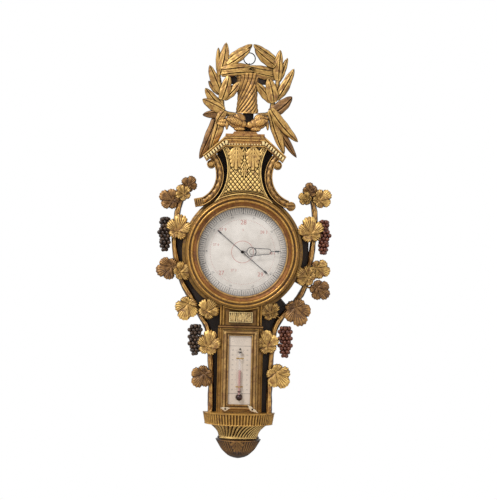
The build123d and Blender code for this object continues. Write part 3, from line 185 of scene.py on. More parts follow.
def linked(name: str, data: bpy.types.ID) -> bpy.types.Object:
    """A new object of the scene that holds the data."""
    holder = bpy.data.objects.new(name, data)
    bpy.context.scene.collection.objects.link(holder)
    return holder


def relief(columns: int, rows: int, place: Callable[[float, float], Vector]) -> Form:
    """A grid whose points are moved to their places on a carved surface.

    Args:
        columns: Steps along the first share.
        rows: Steps along the second share.
        place: Gives the place for two shares from 0 to 1.

    Returns:
        The form, with seams and poles merged.
    """
    form = bmesh.new()
    bmesh.ops.create_grid(form, x_segments=columns, y_segments=rows, size=1.0)
    span = max(vert.co.x for vert in form.verts)
    for vert in form.verts:
        vert.co = place((vert.co.x / span + 1.0) / 2.0, (vert.co.y / span + 1.0) / 2.0)
    bmesh.ops.remove_doubles(form, verts=form.verts, dist=1e-7)
    return form


def back_off(form: Form, depth: float, ring: bool = False) -> Form:
    """Closes an open relief with walls that run back to a depth and a flat back.

    Args:
        form: The relief, open at its rim.
        depth: The depth of its back.
        ring: True where the relief has an inner rim too.

    Returns:
        The same form, closed.
    """
    rim = [edge for edge in form.edges if edge.is_boundary]
    made = bmesh.ops.extrude_edge_only(form, edges=rim)["geom"]
    for vert in (part for part in made if isinstance(part, bmesh.types.BMVert)):
        vert.co.y = -depth * MM
    back = [part for part in made if isinstance(part, bmesh.types.BMEdge) and part.is_boundary]
    if ring:
        bmesh.ops.bridge_loops(form, edges=back)
    else:
        bmesh.ops.holes_fill(form, edges=back, sides=0)
    bmesh.ops.remove_doubles(form, verts=form.verts, dist=1e-7)
    return form


def carve(columns: int, rows: int, place: Callable[[float, float], Vector], back: float,
          ring: bool = False) -> Form:
    """A relief closed by walls and a flat back at a depth; see `relief` and `back_off`."""
    return back_off(relief(columns, rows, place), back, ring)


def turned(profile: Sequence[Point], steps: int = 180) -> Form:
    """A closed (radius, depth) profile spun about the dial's axis."""
    form = bmesh.new()
    verts = [form.verts.new(at(radius, depth, 0.0)) for radius, depth in profile]
    edges = [form.edges.new(pair) for pair in zip(verts, verts[1:] + verts[:1])]
    bmesh.ops.spin(form, geom=verts + edges, cent=(0, 0, 0), axis=(0, 1, 0),
                   angle=2 * math.pi, steps=steps, use_merge=True)
    bmesh.ops.remove_doubles(form, verts=form.verts, dist=1e-7)
    return form


def button(profile: Sequence[Point], x: float, z: float, steps: int = 40) -> Form:
    """A solid turned about its own axis at (x, z), from (radius, depth) points, foot first."""
    form = turned([(0.0, profile[0][1]), *profile, (0.0, profile[-1][1])], steps)
    shift(form, at(x, 0.0, z))
    return form


def slab(centre: tuple[float, float, float], size: tuple[float, float, float],
         bevel: float = 0.5, segments: int = 2, turn: float = 0.0) -> Form:
    """A block with eased edges.

    Args:
        centre: Its middle as x, depth, z.
        size: Its width, depth and height.
        bevel: How far the edges are eased.
        segments: Steps in each eased edge.
        turn: Its turn in degrees, clockwise from the front.

    Returns:
        The block.
    """
    form = block(size)
    bmesh.ops.bevel(form, geom=form.edges[:], offset=bevel * MM, segments=segments, profile=0.5,
                    affect="EDGES", material=-1)
    swing(form, turn)
    shift(form, at(*centre))
    return form


def joined(forms: Iterable[Form]) -> Form:
    """Several forms gathered into one, in order."""
    whole = bmesh.new()
    for form in forms:
        bmesh.ops.recalc_face_normals(form, faces=form.faces)
        scrap = bpy.data.meshes.new("scrap")
        form.to_mesh(scrap)
        form.free()
        whole.from_mesh(scrap)
        bpy.data.meshes.remove(scrap)
    return whole


def ball(centre: Vector, radii: Vector, turn: Matrix | None = None, detail: int = 2) -> Form:
    """An egg-shaped form, from an icosphere, in metres."""
    form = bmesh.new()
    bmesh.ops.create_icosphere(form, subdivisions=detail, radius=1.0)
    bmesh.ops.scale(form, vec=radii, verts=form.verts)
    if turn is not None:
        bmesh.ops.transform(form, matrix=turn, verts=form.verts)
    shift(form, centre)
    return form


def welded(form: Form, voxel: float) -> Form:
    """Forms that overlap, melted into one skin by voxels of a size in millimetres."""
    mesh = bpy.data.meshes.new("lump")
    form.to_mesh(mesh)
    form.free()
    lump = linked("lump", mesh)
    remesh = lump.modifiers.new("weld", "REMESH")
    remesh.mode = "VOXEL"
    remesh.voxel_size = voxel * MM
    whole = bmesh.new()
    whole.from_mesh(lump.evaluated_get(bpy.context.evaluated_depsgraph_get()).to_mesh())
    bpy.data.objects.remove(lump)
    bpy.data.meshes.remove(mesh)
    return whole


# --------------------------------------------------------------------------------------------------
# Finishes
# --------------------------------------------------------------------------------------------------


def tint(red: int, green: int, blue: int) -> Tone:
    """A colour from its screen values, 0 to 255, as the shader wants it."""
    return tuple(((c / 255 + 0.055) / 1.055) ** 2.4 if c > 10 else c / 3294.6
                 for c in (red, green, blue)) + (1.0,)


def shade(tone: Tone, share: float) -> Tone:
    """A darker tone, each channel at a share of its light."""
    return tuple(share * channel for channel in tone[:3]) + (1.0,)


class Bench:
    """A material's nodes, with short calls for the ones these finishes use."""

    def __init__(self, name: str) -> None:
        """Starts an empty material of that name."""
        self.material = bpy.data.materials.new(name)
        self.material.use_nodes = True
        self.nodes = self.material.node_tree.nodes
        self.links = self.material.node_tree.links
        self.nodes.clear()
        self.coordinates = self.nodes.new("ShaderNodeTexCoord").outputs["Object"]
        self.shader = self.nodes.new("ShaderNodeBsdfPrincipled")
        output = self.nodes.new("ShaderNodeOutputMaterial")
        self.links.new(self.shader.outputs[0], output.inputs["Surface"])

    def feed(self, socket: Socket, value: Feed) -> None:
        """Links a socket to another, or sets it to a plain value."""
        if isinstance(value, bpy.types.NodeSocket):
            self.links.new(value, socket)
        else:
            socket.default_value = value

    def noise(self, scale: float, detail: float = 5.0, roughness: float = 0.55,
              stretch: tuple[float, float, float] = (1.0, 1.0, 1.0),
              distortion: float = 0.0) -> Socket:
        """A noise over the object's own coordinates.

        Args:
            scale: Cells per metre.
            detail: Octaves.
            roughness: Strength of the fine octaves.
            stretch: Scale along X, Y and Z.
            distortion: How far the cells are warped.

        Returns:
            The socket of its value.
        """
        mapping = self.nodes.new("ShaderNodeMapping")
        mapping.inputs["Scale"].default_value = stretch
        self.links.new(self.coordinates, mapping.inputs["Vector"])
        grain = self.nodes.new("ShaderNodeTexNoise")
        self.links.new(mapping.outputs[0], grain.inputs["Vector"])
        grain.inputs["Scale"].default_value = scale
        grain.inputs["Detail"].default_value = detail
        grain.inputs["Roughness"].default_value = roughness
        grain.inputs["Distortion"].default_value = distortion
        return grain.outputs[0]

    def ramp(self, value: Socket, *stops: Point) -> Socket:
        """A value bent through (position, value) stops."""
        node = self.nodes.new("ShaderNodeValToRGB")
        self.links.new(value, node.inputs[0])
        while len(node.color_ramp.elements) < len(stops):
            node.color_ramp.elements.new(0.5)
        for element, (position, height) in zip(node.color_ramp.elements, stops):
            element.position = position
            element.color = (height, height, height, 1.0)
        return node.outputs[0]

    def mix(self, share: Feed, first: Feed, second: Feed) -> Socket:
        """Two colours mixed by a share."""
        node = self.nodes.new("ShaderNodeMix")
        node.data_type = "RGBA"
        for socket, value in ((node.inputs[0], share), (node.inputs[6], first),
                              (node.inputs[7], second)):
            self.feed(socket, value)
        return node.outputs[2]

    def sum(self, operation: str, first: Feed, second: Feed = 0.0) -> Socket:
        """Two values put together by an operation, held between 0 and 1."""
        node = self.nodes.new("ShaderNodeMath")
        node.operation = operation
        node.use_clamp = True
        self.feed(node.inputs[0], first)
        self.feed(node.inputs[1], second)
        return node.outputs[0]

    def line(self, value: Socket, slope: float, start: float) -> Socket:
        """A value times a slope, plus a start."""
        return self.sum("ADD", self.sum("MULTIPLY", value, slope), start)

    def blend(self, first: Socket, share: float, second: Socket, rest: float) -> Socket:
        """Two values added, each at its own share."""
        return self.sum("ADD", self.sum("MULTIPLY", first, share),
                        self.sum("MULTIPLY", second, rest))

    def veil(self, tone: Feed, cover: Feed, value: Socket, *stops: Point) -> Socket:
        """A tone with another laid over it where a value, bent through stops, is high."""
        return self.mix(self.ramp(value, *stops), tone, cover)

    def from_axis(self) -> Socket:
        """The distance in metres from the dial's axis."""
        split = self.nodes.new("ShaderNodeSeparateXYZ")
        self.links.new(self.coordinates, split.inputs[0])
        flat = self.nodes.new("ShaderNodeCombineXYZ")
        self.links.new(split.outputs["X"], flat.inputs["X"])
        self.links.new(split.outputs["Z"], flat.inputs["Z"])
        length = self.nodes.new("ShaderNodeVectorMath")
        length.operation = "LENGTH"
        self.links.new(flat.outputs[0], length.inputs[0])
        return length.outputs["Value"]

    def hollows(self, reach: float) -> Socket:
        """How closed in the surface is, 1 in the open and 0 in deep corners within a reach."""
        node = self.nodes.new("ShaderNodeAmbientOcclusion")
        node.samples = 6
        node.inputs["Distance"].default_value = reach * MM
        return node.outputs["AO"]

    def edges(self) -> Socket:
        """How far the surface bends outwards, above 0.5 on edges."""
        return self.nodes.new("ShaderNodeNewGeometry").outputs["Pointiness"]

    def carving(self) -> Socket:
        """How proud of its surroundings the surface stands: 0.5 level, 1 on ridges, 0 in cuts."""
        read = self.nodes.new("ShaderNodeAttribute")
        read.attribute_name = CARVING
        node = self.nodes.new("ShaderNodeMath")
        node.operation = "MULTIPLY_ADD"
        node.use_clamp = True
        self.links.new(read.outputs["Fac"], node.inputs[0])
        node.inputs[1].default_value = 0.5
        node.inputs[2].default_value = 0.5
        return node.outputs[0]

    def bump(self, height: Socket, strength: float, distance: float) -> None:
        """Lets a height raise the surface, with the distance in millimetres."""
        node = self.nodes.new("ShaderNodeBump")
        node.inputs["Strength"].default_value = strength
        node.inputs["Distance"].default_value = distance * MM
        self.links.new(height, node.inputs["Height"])
        self.links.new(node.outputs[0], self.shader.inputs["Normal"])

    def done(self, colour: Feed, roughness: Feed, metallic: Feed = 0.0) -> bpy.types.Material:
        """Feeds the shader and gives the finished material back."""
        self.feed(self.shader.inputs["Base Color"], colour)
        self.feed(self.shader.inputs["Roughness"], roughness)
        self.feed(self.shader.inputs["Metallic"], metallic)
        return self.material


@dataclass(frozen=True)
class Gilding:
    """Water gilding over red bole, rubbed through in patches, with a painted highlight on its edges
    and ridges, and dirt and painted shade in its hollows and cuts.
    """

    name: str
    leaf: Tone = tint(184, 132, 56)
    # The bright tone is the painted highlight of edges and ridges, and it also lightens the random
    # tone drift.
    bright: Tone = tint(252, 212, 130)
    bole: Tone = tint(120, 64, 36)
    # The grime tone serves both the dirt specks and the painted shade of hollows and cuts; the dirt
    # strength scales that hollow darkening, which is partly dirt and partly painted shade.
    grime_and_shade: Tone = tint(44, 22, 8)
    wear: float = 0.36
    dirt_and_shade: float = 1.0
    metal: float = 0.42
    roughness: float = 0.42

    def make(self) -> bpy.types.Material:
        """Builds the material."""
        bench = Bench(self.name)
        drift = bench.ramp(bench.noise(38, 5), (0.3, 0.0), (0.66, 1.0))
        tone = bench.mix(drift, shade(self.leaf, 0.66),
                         tuple(0.4 * a + 0.6 * b for a, b in zip(self.leaf, self.bright)))
        cut = bench.carving()
        # Painted highlight: edges and proud ridges of the carving are mixed towards the bright
        # tone.
        crest = bench.sum("MAXIMUM", bench.ramp(bench.edges(), (0.5, 0.0), (0.56, 1.0)),
                          bench.ramp(cut, (0.515, 0.0), (0.66, 1.0)))
        tone = bench.mix(crest, tone, self.bright)
        rub = bench.noise(75, 8, 0.68, distortion=0.6)
        bare = bench.ramp(rub, (0.62 - 0.3 * self.wear, 0.0), (0.78 - 0.3 * self.wear, 0.8))
        tone = bench.mix(bare, tone, self.bole)
        # Painted shade, with some dirt: hollows found by ambient occlusion, the cuts of the carving
        # and faces turned to the sides go dark towards the grime tone.
        open_share = bench.ramp(bench.hollows(9.0), (0.22, 0.0), (0.8, 1.0))
        deep = bench.sum("MAXIMUM", bench.sum("SUBTRACT", 1.0, open_share),
                         bench.ramp(cut, (0.26, 1.0), (0.47, 0.0)))
        deep = bench.sum("MULTIPLY", deep, self.dirt_and_shade)
        tone = bench.mix(deep, tone, self.grime_and_shade)
        tone = bench.veil(tone, self.grime_and_shade, bench.noise(420, 3, 0.6), (0.60, 0.0), (0.70, 0.55))
        # The metal sheen is also taken out in the hollows, which deepens the painted shade there.
        shine = bench.sum("MULTIPLY", bench.sum("SUBTRACT", 1.0, bare), self.metal)
        shine = bench.sum("MULTIPLY", shine, open_share)
        bench.bump(bench.blend(rub, 0.7, bench.noise(900, 4), 0.3), 0.35, 0.5)
        return bench.done(tone, bench.line(rub, 0.28, self.roughness - 0.12), shine)


@dataclass(frozen=True)
class Wood:
    """Old board, stained and smoked, with its grain upright."""

    name: str
    dark: Tone = tint(20, 13, 9)
    pale: Tone = tint(58, 38, 25)

    def make(self) -> bpy.types.Material:
        """Builds the material."""
        bench = Bench(self.name)
        grain = bench.noise(60, 6, 0.6, (8.0, 8.0, 0.7), 0.8)
        pores = bench.noise(700, 3, 0.6, (4.0, 4.0, 0.3))
        tone = bench.veil(self.dark, self.pale, grain, (0.35, 0.0), (0.7, 1.0))
        tone = bench.veil(tone, self.dark, pores, (0.5, 0.0), (0.75, 0.7))
        bench.bump(bench.blend(grain, 0.6, pores, 0.4), 0.3, 0.4)
        return bench.done(tone, bench.line(grain, 0.2, 0.58))


@dataclass(frozen=True)
class Metal:
    """Brass, steel or iron with fine scratches and a dull bloom."""

    name: str
    face: Tone
    dull: Tone
    roughness: float = 0.3
    metal: float = 1.0

    def make(self) -> bpy.types.Material:
        """Builds the material."""
        bench = Bench(self.name)
        bloom = bench.noise(120, 6, 0.6)
        scratch = bench.noise(900, 3, 0.6, (1.0, 1.0, 9.0))
        tone = bench.veil(self.face, self.dull, bloom, (0.38, 0.0), (0.7, 0.9))
        bench.bump(scratch, 0.12, 0.1)
        return bench.done(tone, bench.line(bloom, 0.3, self.roughness - 0.1), self.metal)


@dataclass(frozen=True)
class Card:
    """Printed paper on a plate, foxed and rubbed, and darker towards its rim with the painted
    shadow of the bezel.
    """

    name: str
    face: Tone
    stain_and_shade: Tone
    # Where the painted shadow of the bezel starts and where it is full, in millimetres from the
    # dial's axis; no shadow when the end is 0.
    rim_start: float = 0.0
    rim_end: float = 0.0

    def make(self) -> bpy.types.Material:
        """Builds the material."""
        bench = Bench(self.name)
        cloud = bench.noise(22, 6, 0.6)
        tone = bench.veil(self.face, self.stain_and_shade, cloud, (0.36, 0.0), (0.78, 0.6))
        fox = bench.noise(210, 5, 0.62)
        tone = bench.veil(tone, self.stain_and_shade, fox, (0.62, 0.0), (0.76, 0.6))
        # Painted shadow: the bezel's shade on the dial, darkening towards the rim.
        if self.rim_end:
            tone = bench.veil(tone, self.stain_and_shade, bench.from_axis(),
                              (self.rim_start * MM, 0.0), (self.rim_end * MM, 0.75))
        bench.bump(bench.noise(1500, 2), 0.1, 0.1)
        return bench.done(tone, bench.line(fox, 0.15, 0.55))


@dataclass(frozen=True)
class Ink:
    """Printing ink, thinner in places."""

    name: str
    dense: Tone
    thin: Tone

    def make(self) -> bpy.types.Material:
        """Builds the material."""
        bench = Bench(self.name)
        tone = bench.veil(self.dense, self.thin, bench.noise(300, 4), (0.35, 0.0), (0.7, 1.0))
        return bench.done(tone, 0.7)


@dataclass(frozen=True)
class Glass:
    """Thin old glass that mostly lets the view through."""

    name: str
    tone: Tone
    cover: float
    roughness: float = 0.04

    def make(self) -> bpy.types.Material:
        """Builds the material."""
        bench = Bench(self.name)
        ripple = bench.noise(30, 2)
        bench.bump(ripple, 0.04, 0.3)
        bench.shader.inputs["Alpha"].default_value = self.cover
        tone = bench.mix(ripple, self.tone, shade(self.tone, 0.9))
        return bench.done(tone, self.roughness)


@dataclass(frozen=True)
class Lacquer:
    """A dark, shiny varnish, as on the grapes, with lighter patches at random that stand partly for
    the ground showing through and partly for painted highlights, and with painted shade in the
    hollows.
    """

    name: str
    deep: Tone
    # The crown tone is the lighter patch: partly the ground showing through, partly a painted
    # highlight.
    crown: Tone
    roughness: float = 0.3

    def make(self) -> bpy.types.Material:
        """Builds the material."""
        bench = Bench(self.name)
        patch = bench.noise(160, 6, 0.65)
        # Lighter patches at random: partly the ground showing through, partly painted highlights.
        tone = bench.veil(self.deep, self.crown, patch, (0.45, 0.0), (0.72, 1.0))
        # Painted shade: near black in the hollows within five millimetres.
        tone = bench.veil(tone, tint(14, 8, 5), bench.hollows(5.0), (0.3, 1.0), (0.9, 0.0))
        bench.bump(patch, 0.2, 0.4)
        return bench.done(tone, bench.line(patch, 0.3, self.roughness - 0.1), 0.1)


MADE: dict[str, bpy.types.Material] = {}


class Finish(Enum):
    """The finishes on the barometer, each with its material and a slot name that this script does
    not read.
    """

    GILT = (Gilding("gilt"), "gilt")
    LEAF_GILT = (Gilding("leaf_gilt", tint(150, 100, 42), tint(248, 204, 118), wear=0.44), "gilt")
    PALE_GILT = (Gilding("pale_gilt", tint(222, 176, 98), tint(252, 224, 160), wear=0.22), "gilt")
    BOLE_GILT = (Gilding("bole_gilt", tint(136, 86, 44), tint(208, 156, 88), wear=0.58,
                         metal=0.4), "bole")
    RED_GILT = (Gilding("red_gilt", tint(176, 114, 50), tint(236, 188, 106), wear=0.5, metal=0.45),
                "gilt")
    RING_GILT = (Gilding("ring_gilt", tint(128, 82, 32), tint(226, 174, 90), wear=0.42, metal=0.7,
                         roughness=0.32), "gilt")
    OLIVE_GILT = (Gilding("olive_gilt", tint(104, 74, 28), tint(172, 130, 62), tint(84, 46, 22),
                          wear=0.4, metal=0.5), "gilt")
    BOWL_GILT = (Gilding("bowl_gilt", tint(90, 58, 26), tint(162, 118, 62), tint(92, 46, 18),
                         wear=0.46, metal=0.35), "gilt")
    FRAME_GILT = (Gilding("frame_gilt", tint(154, 108, 52), tint(218, 176, 106), tint(124, 76, 42),
                          wear=0.5, dirt_and_shade=0.62, metal=0.4), "bole")
    TROPHY_GILT = (Gilding("trophy_gilt", tint(148, 100, 46), tint(228, 178, 100),
                           tint(100, 58, 30),
                           wear=0.48, metal=0.5), "gilt")
    BOX_GILT = (Gilding("box_gilt", tint(146, 100, 40), tint(206, 158, 80), tint(104, 62, 30),
                        wear=0.42, dirt_and_shade=0.5, metal=0.5), "gilt")
    COVE_GILT = (Gilding("cove_gilt", tint(112, 66, 28), tint(184, 124, 60), tint(86, 40, 18),
                         wear=0.42, metal=0.6), "gilt")
    SCROLL_GILT = (Gilding("scroll_gilt", tint(128, 88, 40), tint(206, 160, 90), tint(88, 50, 26),
                           wear=0.42, metal=0.45), "gilt")
    # Painted shade: a darker copy of the leaf gilding for the leaves that lie in shade.
    BROWN_LEAF = (Gilding("brown_leaf", tint(104, 68, 36), tint(184, 136, 76), tint(72, 40, 24),
                          wear=0.5, metal=0.35), "bole")
    BOARD = (Wood("board"), "dark_wood")
    DARK_GRAPE = (Lacquer("dark_grape", tint(34, 20, 14), tint(112, 80, 50)), "grape_dark")
    RED_GRAPE = (Lacquer("red_grape", tint(84, 36, 20), tint(160, 96, 60)), "grape_dark")
    DIAL = (Card("dial_card", tint(251, 244, 236), tint(184, 172, 158), 88, 112), "dial_card")
    SCALE = (Card("scale_card", tint(234, 219, 204), tint(208, 188, 166)), "scale_card")
    BLACK_INK = (Ink("black_ink", tint(38, 36, 38), tint(112, 108, 106)), "dial_card")
    GREY_INK = (Ink("grey_ink", tint(116, 112, 110), tint(170, 164, 158)), "dial_card")
    RED_INK = (Ink("red_ink", tint(186, 84, 76), tint(214, 146, 136)), "dial_card")
    GLASS = (Glass("dial_glass", (1.0, 1.0, 1.0, 1.0), 0.05), "clear_glass")
    TUBE_GLASS = (Glass("tube_glass", (0.9, 0.9, 0.94, 1.0), 0.14), "clear_glass")
    SPIRIT = (Card("spirit", tint(206, 146, 136), tint(186, 122, 112)), "spirit")
    BULB = (Lacquer("bulb", tint(30, 12, 10), tint(74, 30, 24), 0.16), "spirit")
    BRASS = (Metal("brass", tint(196, 158, 84), tint(140, 104, 52)), "brass")
    DARK_BRASS = (Metal("dark_brass", tint(98, 80, 56), tint(58, 46, 34), 0.36, 0.85), "dark_brass")
    STEEL = (Metal("steel", tint(178, 178, 176), tint(120, 118, 116)), "steel")
    BLUED = (Metal("blued_steel", tint(44, 46, 58), tint(24, 25, 34), 0.3, 0.9), "blued_steel")
    SILVERED = (Metal("silvered", tint(208, 206, 198), tint(160, 156, 148)), "silvered")
    IRON = (Metal("iron", tint(40, 36, 34), tint(20, 17, 16), 0.5, 0.75), "iron")
    GESSO = (Card("gesso", tint(240, 226, 200), tint(188, 164, 128)), "gilt")

    def material(self) -> bpy.types.Material:
        """The finish's material, made once."""
        recipe, _ = self.value
        if recipe.name not in MADE:
            MADE[recipe.name] = recipe.make()
        return MADE[recipe.name]


PULL = 0.6              # how far each pass of the survey moves a point to its neighbours
PASSES = (2, 24)        # fewest and most passes
AWAY_START = 0.8        # how far a face may turn from the front before it takes painted shade
AWAY_SPAN = 0.45
AWAY_CUT = 0.9          # the cut that a face turned right away counts as


def survey(mesh: bpy.types.Mesh, reach: float = 3.0) -> None:
    """Stores how proud of its surroundings each point of a mesh stands, in millimetres.

    Faces that turn away from the front count as cuts, so that they take the painted shade of the
    cuts.

    Args:
        mesh: The piece's mesh.
        reach: How far its surroundings go, in millimetres.
    """
    count = len(mesh.vertices)
    places, normals = np.empty(count * 3), np.empty(count * 3)
    mesh.vertices.foreach_get("co", places)
    mesh.vertices.foreach_get("normal", normals)
    places = places.reshape(-1, 3)
    ends = np.empty(len(mesh.edges) * 2, dtype=np.int64)
    mesh.edges.foreach_get("vertices", ends)
    first, second = ends.reshape(-1, 2).T
    stride = np.median(np.linalg.norm(places[first] - places[second], axis=1))
    neighbours = np.maximum(np.bincount(first, minlength=count)
                            + np.bincount(second, minlength=count), 1)
    soft = places
    for _ in range(min(max(int((reach * MM / stride) ** 2), PASSES[0]), PASSES[1])):
        pull = np.stack([np.bincount(first, soft[second, axis], count)
                         + np.bincount(second, soft[first, axis], count) for axis in range(3)],
                         axis=1)
        soft = (1 - PULL) * soft + PULL * pull / neighbours[:, None]
    normals = normals.reshape(-1, 3)
    proud = ((places - soft) * normals).sum(axis=1) / MM
    # Painted shade: faces turned towards the sides are read as cuts, so the gilding darkens them.
    turned_away = np.clip((AWAY_START + normals[:, 1]) / AWAY_SPAN, 0.0, 1.0)
    proud = proud * (1.0 - turned_away) - AWAY_CUT * turned_away
    layer = mesh.attributes.new(CARVING, "FLOAT", "POINT")
    layer.data.foreach_set("value", np.clip(proud, -1.0, 1.0).astype(np.float32))


def put(form: Form, name: str, finish: Finish, stands_for: Sequence[str] = (), body: str = "case",
        crease: float = 38.0, carved: bool = True) -> bpy.types.Object:
    """Makes a form a finished piece of the barometer.

    Args:
        form: The piece's mesh work.
        name: The piece's name.
        finish: Its finish.
        stands_for: The CAD nodes that it replaces.
        body: The CAD body that it rides on.
        crease: The angle in degrees above which an edge stays sharp.
        carved: True where the finish follows the cuts of the carving.

    Returns:
        The piece's object.
    """
    bmesh.ops.recalc_face_normals(form, faces=form.faces)
    mesh = bpy.data.meshes.new(name)
    form.to_mesh(mesh)
    form.free()
    mesh.shade_smooth()
    mesh.set_sharp_from_angle(angle=math.radians(crease))
    if carved:
        survey(mesh)
    piece = linked(name, mesh)
    mesh.materials.append(finish.material())
    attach(piece, body)
    if stands_for:
        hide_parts(*stands_for)
    log.info("%s: %d faces", name, len(mesh.polygons))
    return piece


def dress(finish: Finish, *nodes: str) -> None:
    """Gives CAD nodes that keep their own shape a finish."""
    for node in nodes:
        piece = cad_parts[node]
        piece.data.materials.clear()
        piece.data.materials.append(finish.material())
        log.info("%s keeps its shape, finish %s", node, finish.name)


def ridge(inner: float, outer: float, foot: float, crown: float, steps: int = 10) -> list[Point]:
    """Radius and depth points over a rounded ring, from its outer edge to its inner one."""
    middle, half = (inner + outer) / 2, (outer - inner) / 2
    return [(middle + half * math.cos(k / steps * math.pi),
             lerp(foot, crown, math.sin(k / steps * math.pi))) for k in range(steps + 1)]


# --------------------------------------------------------------------------------------------------
# Drum, bezel, dial, hands and movement
# --------------------------------------------------------------------------------------------------


@dataclass
class Drum:
    """The turned drum and its bezel."""

    board: float = 8.0
    radius: float = 144.0
    front_radius: float = 134.5
    front: float = 46.0
    bore: float = 108.0
    rebate: float = 112.5
    dial_back: float = 35.0
    bezel_radius: float = 131.0
    opening: float = 105.0
    glass_rebate: float = 109.0
    glass_front: float = 52.0
    bezel_front: float = 63.0
    sight_inner: float = 105.2
    sight_outer: float = 109.4
    sight_back: float = 52.4
    sight_foot: float = 53.6
    sight_crown: float = 56.4

    def build_drum(self) -> None:
        """Turns the drum, with a hollow between its rim and its front."""
        rim = self.radius
        profile = [(self.bore, self.board), (rim - 1.0, self.board), (rim, self.board + 1.0),
                   (rim, 26.0), (rim - 0.6, 27.6), (rim - 2.0, 28.2)]
        profile += [(self.front_radius + 7.0 - 7.0 * math.sin(k / 8 * math.pi / 2),
                     38.5 - 9.3 * math.cos(k / 8 * math.pi / 2)) for k in range(9)]
        profile += [(self.front_radius, 45.0), (self.front_radius - 1.0, self.front),
                    (self.rebate, self.front), (self.rebate, self.dial_back),
                    (self.bore, self.dial_back)]
        put(turned(profile, 200), "drum", Finish.OLIVE_GILT, ["drum_case"], carved=False)

    def build_bezel(self) -> None:
        """Turns the bezel: outer bead, groove, second bead and a hollow down to the glass."""
        rim, front = self.bezel_radius, self.bezel_front
        outer = [(self.glass_rebate, self.front), (rim - 0.6, self.front), (rim, self.front + 0.8),
                 (rim, front - 6.5), *ridge(rim - 5.2, rim, front - 5.0, front - 2.2),
                 (rim - 5.6, front - 5.8), (rim - 7.8, front - 6.2), (rim - 8.2, front - 4.0)]
        inner = [*ridge(rim - 13.6, rim - 8.4, front - 2.8, front), (rim - 14.2, front - 4.6)]
        seam = [(rim - 14.2, self.front), (rim - 14.2, front - 4.6)]
        cove = [(self.opening + 11.6 * (1 - math.sin(k / 12 * math.pi / 2)) + 0.4,
                 front - 4.8 - 4.6 * math.sin(k / 12 * math.pi / 2) ** 0.5) for k in range(1, 12)]
        lip = [(self.opening + 0.6, self.glass_front + 1.3), (self.opening, self.glass_front + 0.7),
               (self.opening, self.glass_front), (self.glass_rebate, self.glass_front)]
        put(turned([seam[0], *outer[1:], *inner], 220), "bezel", Finish.RING_GILT,
            ["bezel_moulding"], crease=30, carved=False)
        put(turned([*seam, *cove, *lip, outer[0]], 220), "bezel_cove", Finish.COVE_GILT, crease=30,
            carved=False)
        bead = ridge(self.sight_inner, self.sight_outer, self.sight_foot, self.sight_crown)
        put(turned([(self.sight_outer, self.sight_back), *bead,
                    (self.sight_inner, self.sight_back)],
                   220), "bezel_sight_bead", Finish.FRAME_GILT, crease=30, carved=False)

    def build(self) -> None:
        """Builds the drum and the bezel, and dresses the bead behind the glass."""
        self.build_drum()
        self.build_bezel()
        dress(Finish.DARK_BRASS, "glass_bead", "dial_screws")


